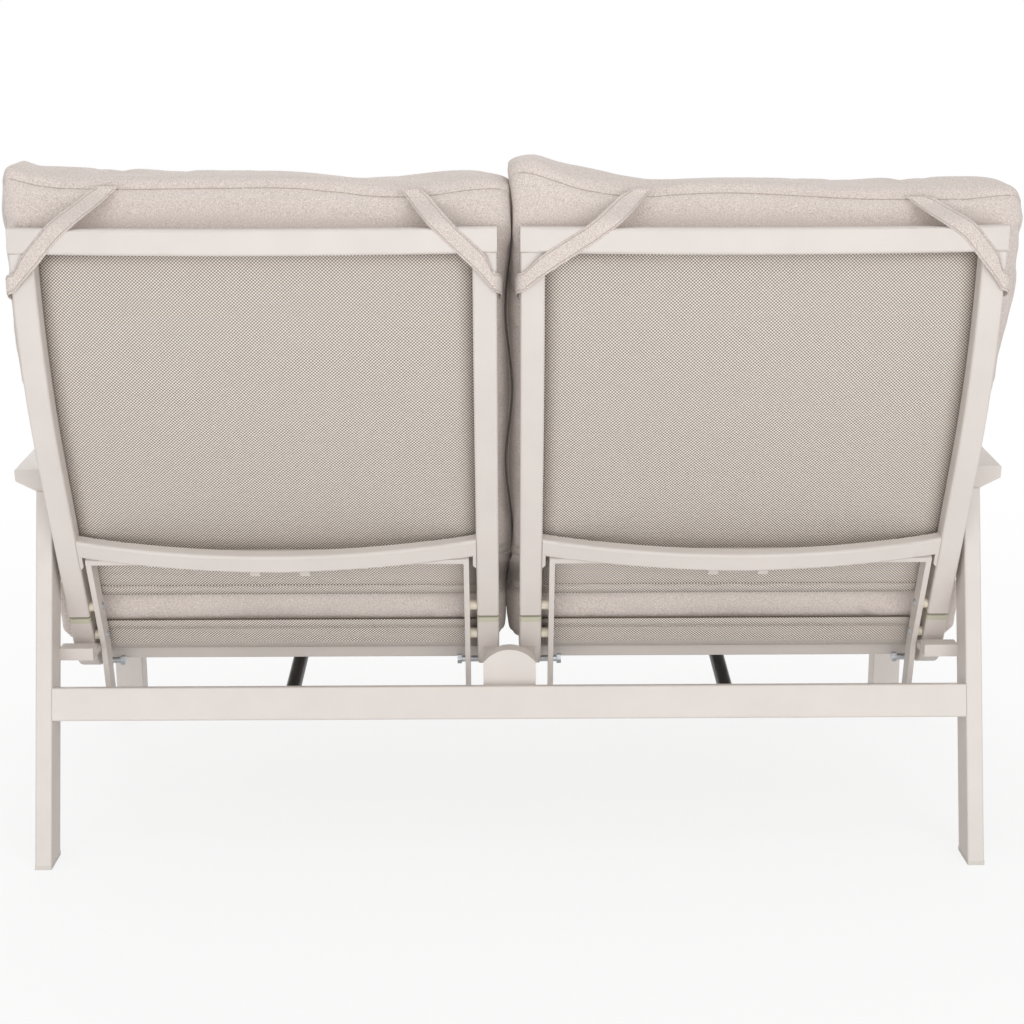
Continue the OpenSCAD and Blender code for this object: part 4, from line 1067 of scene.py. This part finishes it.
class SOFA_OT_seat_cushions(bpy.types.Operator):
    """Makes the two stuffed seat cushions that lie on the seat slings"""

    bl_idname = "sofa.seat_cushions"
    bl_label = "Seat cushions"

    def execute(self, context):
        sizes = context.scene.sofa_sizes
        y0, z0, slope = seat_frame()
        for k, (side, sx) in enumerate(SIDES):
            obj = seat_form(side + "_seat_cushion_cloth")
            swell(obj, sizes)
            co = ripples(coords(obj), normals_of(obj), SEAT_SEED + k, *SEAT_FOLDS)
            run = -(co[:, 1] - y0) * math.cos(slope) + (co[:, 2] - z0) * math.sin(slope)
            up = (co[:, 1] - y0) * math.sin(slope) + (co[:, 2] - z0) * math.cos(slope)
            up = -soft_limit(-up, -(DEEP + SET_OFF), PRESS_BAND)
            wall = SEAT_RUN[1] + SEAT_LEAN * np.clip(2 * (up - DEEP) / SEAT_THICK - 1, -1, 1)
            run = -soft_limit(-run, wall, PRESS_BAND)
            run = soft_limit(run, SEAT_RUN[0], PRESS_BAND)
            co[:, 1], co[:, 2] = seat_world(run, up)
            set_coords(obj, co)
            outer = SEAT_MID + HALF_OUT + SEAT_WIDER - 0.1 * MM + bulge(run)
            co = press_out(co, normals_of(obj), outer, 0.9)
            front = 0.12 + 0.88 * smooth_step((run - 0.2) / 0.12)
            near = smooth_step((co[:, 0] - SEAT_MID - HALF_OUT + 0.06) / 0.04)
            co = relaxed(obj, co, front * near, 14)
            rounding = 16 * MM * np.clip(1 - (up - DEEP) / 0.07, 0, 1) ** 2
            set_coords(obj, nestle(co, normals_of(obj), sx, rounding))
            finish_cushion(obj, side + "_seat_cushion", "frame", sx, seat_seams())
        return {"FINISHED"}


# Corner straps: the rail's bow, the straps' half width along the run, at the seam and round the
# stile, their rows and points across, their thickness and how much thinner they get at each of two
# steps to the edge, where they leave the rail's rear face on the way up and the least length of
# that way, and their knots: distances of the middle line from the seat's middle
RAIL_BOW = 40 * MM
STRAP_HALF, STRAP_SEAM_HALF, STRAP_STILE_HALF = 12.8 * MM, 15.0 * MM, 13.5 * MM
STRAP_ROWS, STRAP_POINTS = 41, 9
STRAP_THICK, STRAP_THINNER = 1.4 * MM, 0.5 * MM
STRAP_OFF, STRAP_OFF_LEAST = 0.9535, 20 * MM
STRAP_KNOTS = {
    ("left", 1): (0.197, 0.268, 0.308),
    ("left", -1): (0.215, 0.267, 0.313),
    ("right", -1): (0.165, 0.233, 0.300),
    ("right", 1): (0.210, 0.276, 0.314),
}
KNOT_HEIGHTS = (0.9465, 0.903, 0.879)
STRAP_TOP = 1.005

# The loop round the stile: how far out, forward and down it goes, in mm
STRAP_LOOP = ((-3, 0.2, 1.5), (1.5, 2, 3), (4.5, 5, 5), (6, 9, 7), (6, 14, 9.5), (4.5, 19, 12), (2, 25, 14))


def rail_rear(off):
    """Rear face of the bowed top rail at a distance from the seat's middle."""
    return TOP_Y + RAIL_BOW * (1 - (off / HALF_OUT) ** 2)


def strap_rows(side, end):
    """Rows of points across a strap, about the seat's middle: sewn in at the cushion's seam,
    down over the rail, then round the stile's side in a loose loop towards the front. The middle
    line is a smoothed run through its knots, and the strap turns upright at the stile."""
    off = np.array([*STRAP_KNOTS[side, end], HALF_OUT - 6 * MM])
    top = STRAP_TOP + top_shift(side, SEAT_MID + end * off[0])
    z = np.array([top, *KNOT_HEIGHTS])
    run = np.concatenate([[0], np.cumsum(np.hypot(np.diff(off), np.diff(z)))])
    at = np.linspace(0, run[-1], STRAP_ROWS)
    off, z = (np.interp(at, run, v) for v in (off, z))
    for _ in range(12):
        off[1:-1], z[1:-1] = ((v[:-2] + 2 * v[1:-1] + v[2:]) / 4 for v in (off, z))
    path = np.stack([off, z], 1)
    way = np.gradient(path, axis=0)
    across = np.stack([-way[:, 1], way[:, 0]], 1) * STRAP_HALF
    across /= np.linalg.norm(way, axis=1, keepdims=True)
    t = np.linspace(0, 1, STRAP_ROWS)[:, None]
    first, last = 1 - smooth_step(t / 0.16), smooth_step((t - 0.75) / 0.25)
    upright = np.array([0, STRAP_STILE_HALF])
    level = np.array([STRAP_SEAM_HALF, 0])
    across = across * (1 - first) * (1 - last) + level * first + upright * last
    w = np.linspace(1, -1, STRAP_POINTS)
    flat = path[:, None] + w[None, :, None] * across[:, None]
    way_up = max(top - STRAP_OFF - 3.5 * MM, STRAP_OFF_LEAST)
    drop = smooth_step((flat[..., 1] - STRAP_OFF) / way_up)
    y = rail_rear(flat[..., 0]) * (1 - drop) + (TOP_Y - DEEP + 0.8 * MM) * drop + 0.6 * MM
    rows = np.stack([flat[..., 0], y, flat[..., 1]], -1)
    y0, z0 = rows[-1, STRAP_POINTS // 2, 1], path[-1, 1]
    out, ahead, down = (v[:, None] for v in np.array(STRAP_LOOP).T * MM)
    flat = [HALF_OUT + out + 0 * w, y0 - ahead + 0 * w, z0 - down + w * STRAP_STILE_HALF]
    return np.concatenate([rows, np.stack(flat, -1)]), w


class SOFA_OT_corner_straps(bpy.types.Operator):
    """Makes the cloth straps that hold each back cushion over the frame's corners"""

    bl_idname = "sofa.corner_straps"
    bl_label = "Corner straps"

    def execute(self, context):
        for side, sx in SIDES:
            parts, threads = [], []
            for end in (1, -1):
                near, w = strap_rows(side, end)
                way = np.gradient(near[:, STRAP_POINTS // 2], axis=0)
                normal = np.stack([-way[:, 1], way[:, 0], 0 * way[:, 0]], 1)
                normal /= np.linalg.norm(normal, axis=1, keepdims=True)
                thick = STRAP_THICK - STRAP_THINNER * sum(np.abs(w) > edge for edge in (0.7, 0.99))
                far = near + normal[:, None] * thick[None, :, None]
                ring = np.concatenate([near, far[:, ::-1]], 1) * (end, 1, 1)
                parts.append((ring.reshape(-1, 3), ring_faces(*ring.shape[:2])))
                for k in (1, STRAP_POINTS - 2):
                    line = (far[1:, k] + normal[1:] * 0.1 * MM) * (end, 1, 1)
                    threads.append(tube(line, 0.45 * MM, 5))
            for name, pieces, key, node in (
                ("strap_cloth", parts, "cushion_fabric", side + "_corner_straps"),
                ("strap_stitches", threads, "seam", None),
            ):
                points, faces = joined(pieces)
                obj = new_object(f"{side}_corner_{name}", moved(points, sx), faces)
                checked(dress(obj, key, side + "_back", node))
        return {"FINISHED"}


# Stage: the floor's half size and the distances and shares of its own light from near to far,
# the lamps (place, aim, size and power) and the camera of the photograph
FLOOR_HALF = 9.0
FLOOR_FADE, FLOOR_GLOW = (0.9, 2.4), (0.8, 1.0)
WORLD_LIGHT = 0.62
LAMPS = (
    ("key_light", (-1.5, 3.6, 1.2), (0, 0, 0.4), 2.4, 40),
    ("fill_light", (1.4, 3.4, 0.5), (0, 0, 0.3), 2.2, 35),
    ("top_light", (0, 0.0, 3.6), (0, 0, 0.5), 3.0, 20),
    ("front_light", (0.8, -3.6, 2.6), (0, 0, 0.5), 2.6, 34),
)
SENSOR = 36
FOCAL_SHARE = 1590.8 / 1024
PITCH, YAW, ROLL = math.radians(14.378), -0.0062, -0.0025
CAMERA_PLACE = (0.00994, 2.1909 + TOP_Y, 1.1136)


class SOFA_OT_stage(bpy.types.Operator):
    """Sets up the pale floor, the soft light and the camera"""

    bl_idname = "sofa.stage"
    bl_label = "Stage"

    def execute(self, context):
        scene = context.scene
        corners = np.array([[-1, -1, 0], [1, -1, 0], [1, 1, 0], [-1, 1, 0]]) * FLOOR_HALF
        floor = new_object("studio_floor", corners, [[0, 1, 2, 3]], False)
        material, net, shader = base_material("floor_white")
        shader.inputs["Base Color"].default_value = (0.9, 0.9, 0.9, 1)
        shader.inputs["Roughness"].default_value = 0.9
        glow = net.add("ShaderNodeEmission")
        glow.inputs["Strength"].default_value = 1.0
        both = net.add("ShaderNodeMixShader")
        path = net.add("ShaderNodeLightPath")
        far = net.add("ShaderNodeVectorMath", operation="LENGTH")
        net.wire(vector_from(net), far.inputs[0])
        fade = net.fade(far.outputs["Value"], *FLOOR_FADE, *FLOOR_GLOW)
        share = net.sum("MULTIPLY", path.outputs["Is Camera Ray"], fade)
        net.wire(share, both.inputs[0])
        net.wire(shader.outputs[0], both.inputs[1])
        net.wire(glow.outputs[0], both.inputs[2])
        net.wire(both.outputs[0], material.node_tree.nodes["Material Output"].inputs[0])
        floor.data.materials.append(material)

        world = bpy.data.worlds.new("studio_white")
        world.use_nodes = True
        scene.world = world
        wn = Net(world.node_tree)
        back = world.node_tree.nodes["Background"]
        back.inputs[0].default_value = (1, 1, 1, 1)
        path = wn.add("ShaderNodeLightPath")
        seen = wn.sum("MAXIMUM", path.outputs["Is Camera Ray"], path.outputs["Is Glossy Ray"])
        seen = wn.sum("MAXIMUM", seen, path.outputs["Is Transmission Ray"])
        white = wn.sum("MULTIPLY", seen, 1 - WORLD_LIGHT)
        wn.wire(wn.sum("ADD", white, WORLD_LIGHT), back.inputs[1])
        for name, place, aim, size, power in LAMPS:
            data = bpy.data.lights.new(name, "AREA")
            data.size = size
            data.energy = power
            lamp = bpy.data.objects.new(name, data)
            scene.collection.objects.link(lamp)
            lamp.location = place
            lamp.rotation_euler = (Vector(aim) - Vector(place)).to_track_quat("-Z", "Y").to_euler()

        data = bpy.data.cameras.new("photo_camera")
        camera = bpy.data.objects.new("photo_camera", data)
        scene.collection.objects.link(camera)
        data.sensor_fit = "HORIZONTAL"
        data.sensor_width = SENSOR
        data.lens = FOCAL_SHARE * SENSOR
        data.clip_start = 0.05
        level = math.cos(PITCH)
        ahead = Vector((math.sin(YAW) * level, -math.cos(YAW) * level, -math.sin(PITCH)))
        right = Vector((-math.cos(YAW), -math.sin(YAW), 0))
        up = right.cross(ahead)
        rolled_right = right * math.cos(ROLL) + up * math.sin(ROLL)
        rolled_up = up * math.cos(ROLL) - right * math.sin(ROLL)
        turn = Matrix((rolled_right, rolled_up, -ahead)).transposed().to_4x4()
        camera.matrix_world = Matrix.Translation(CAMERA_PLACE) @ turn
        scene.camera = camera
        scene.view_settings.view_transform = "Standard"
        return checked(floor)


class SOFA_PT_panel(bpy.types.Panel):
    """Lists the steps that make the sofa"""

    bl_idname = "SOFA_PT_panel"
    bl_label = "Sofa"
    bl_space_type = "VIEW_3D"
    bl_region_type = "UI"
    bl_category = "Sofa"

    def draw(self, context):
        for step in STEPS:
            self.layout.operator(step.bl_idname)
        for name in SofaLooks.__annotations__:
            self.layout.prop(context.scene.sofa_looks, name)
        for name in SofaSizes.__annotations__:
            self.layout.prop(context.scene.sofa_sizes, name)


STEPS = (
    SOFA_OT_finishes,
    SOFA_OT_slings,
    SOFA_OT_back_cushions,
    SOFA_OT_seat_cushions,
    SOFA_OT_corner_straps,
    SOFA_OT_stage,
)
CLASSES = (SofaLooks, SofaSizes, *STEPS, SOFA_PT_panel)


def register():
    for c in CLASSES:
        bpy.utils.register_class(c)
    bpy.types.Scene.sofa_looks = PointerProperty(type=SofaLooks)
    bpy.types.Scene.sofa_sizes = PointerProperty(type=SofaSizes)


def unregister():
    del bpy.types.Scene.sofa_sizes
    del bpy.types.Scene.sofa_looks
    for c in reversed(CLASSES):
        bpy.utils.unregister_class(c)


def main():
    register()
    for step in STEPS:
        getattr(bpy.ops.sofa, step.bl_idname.split(".")[1])()


if __name__ == "__main__":
    main()
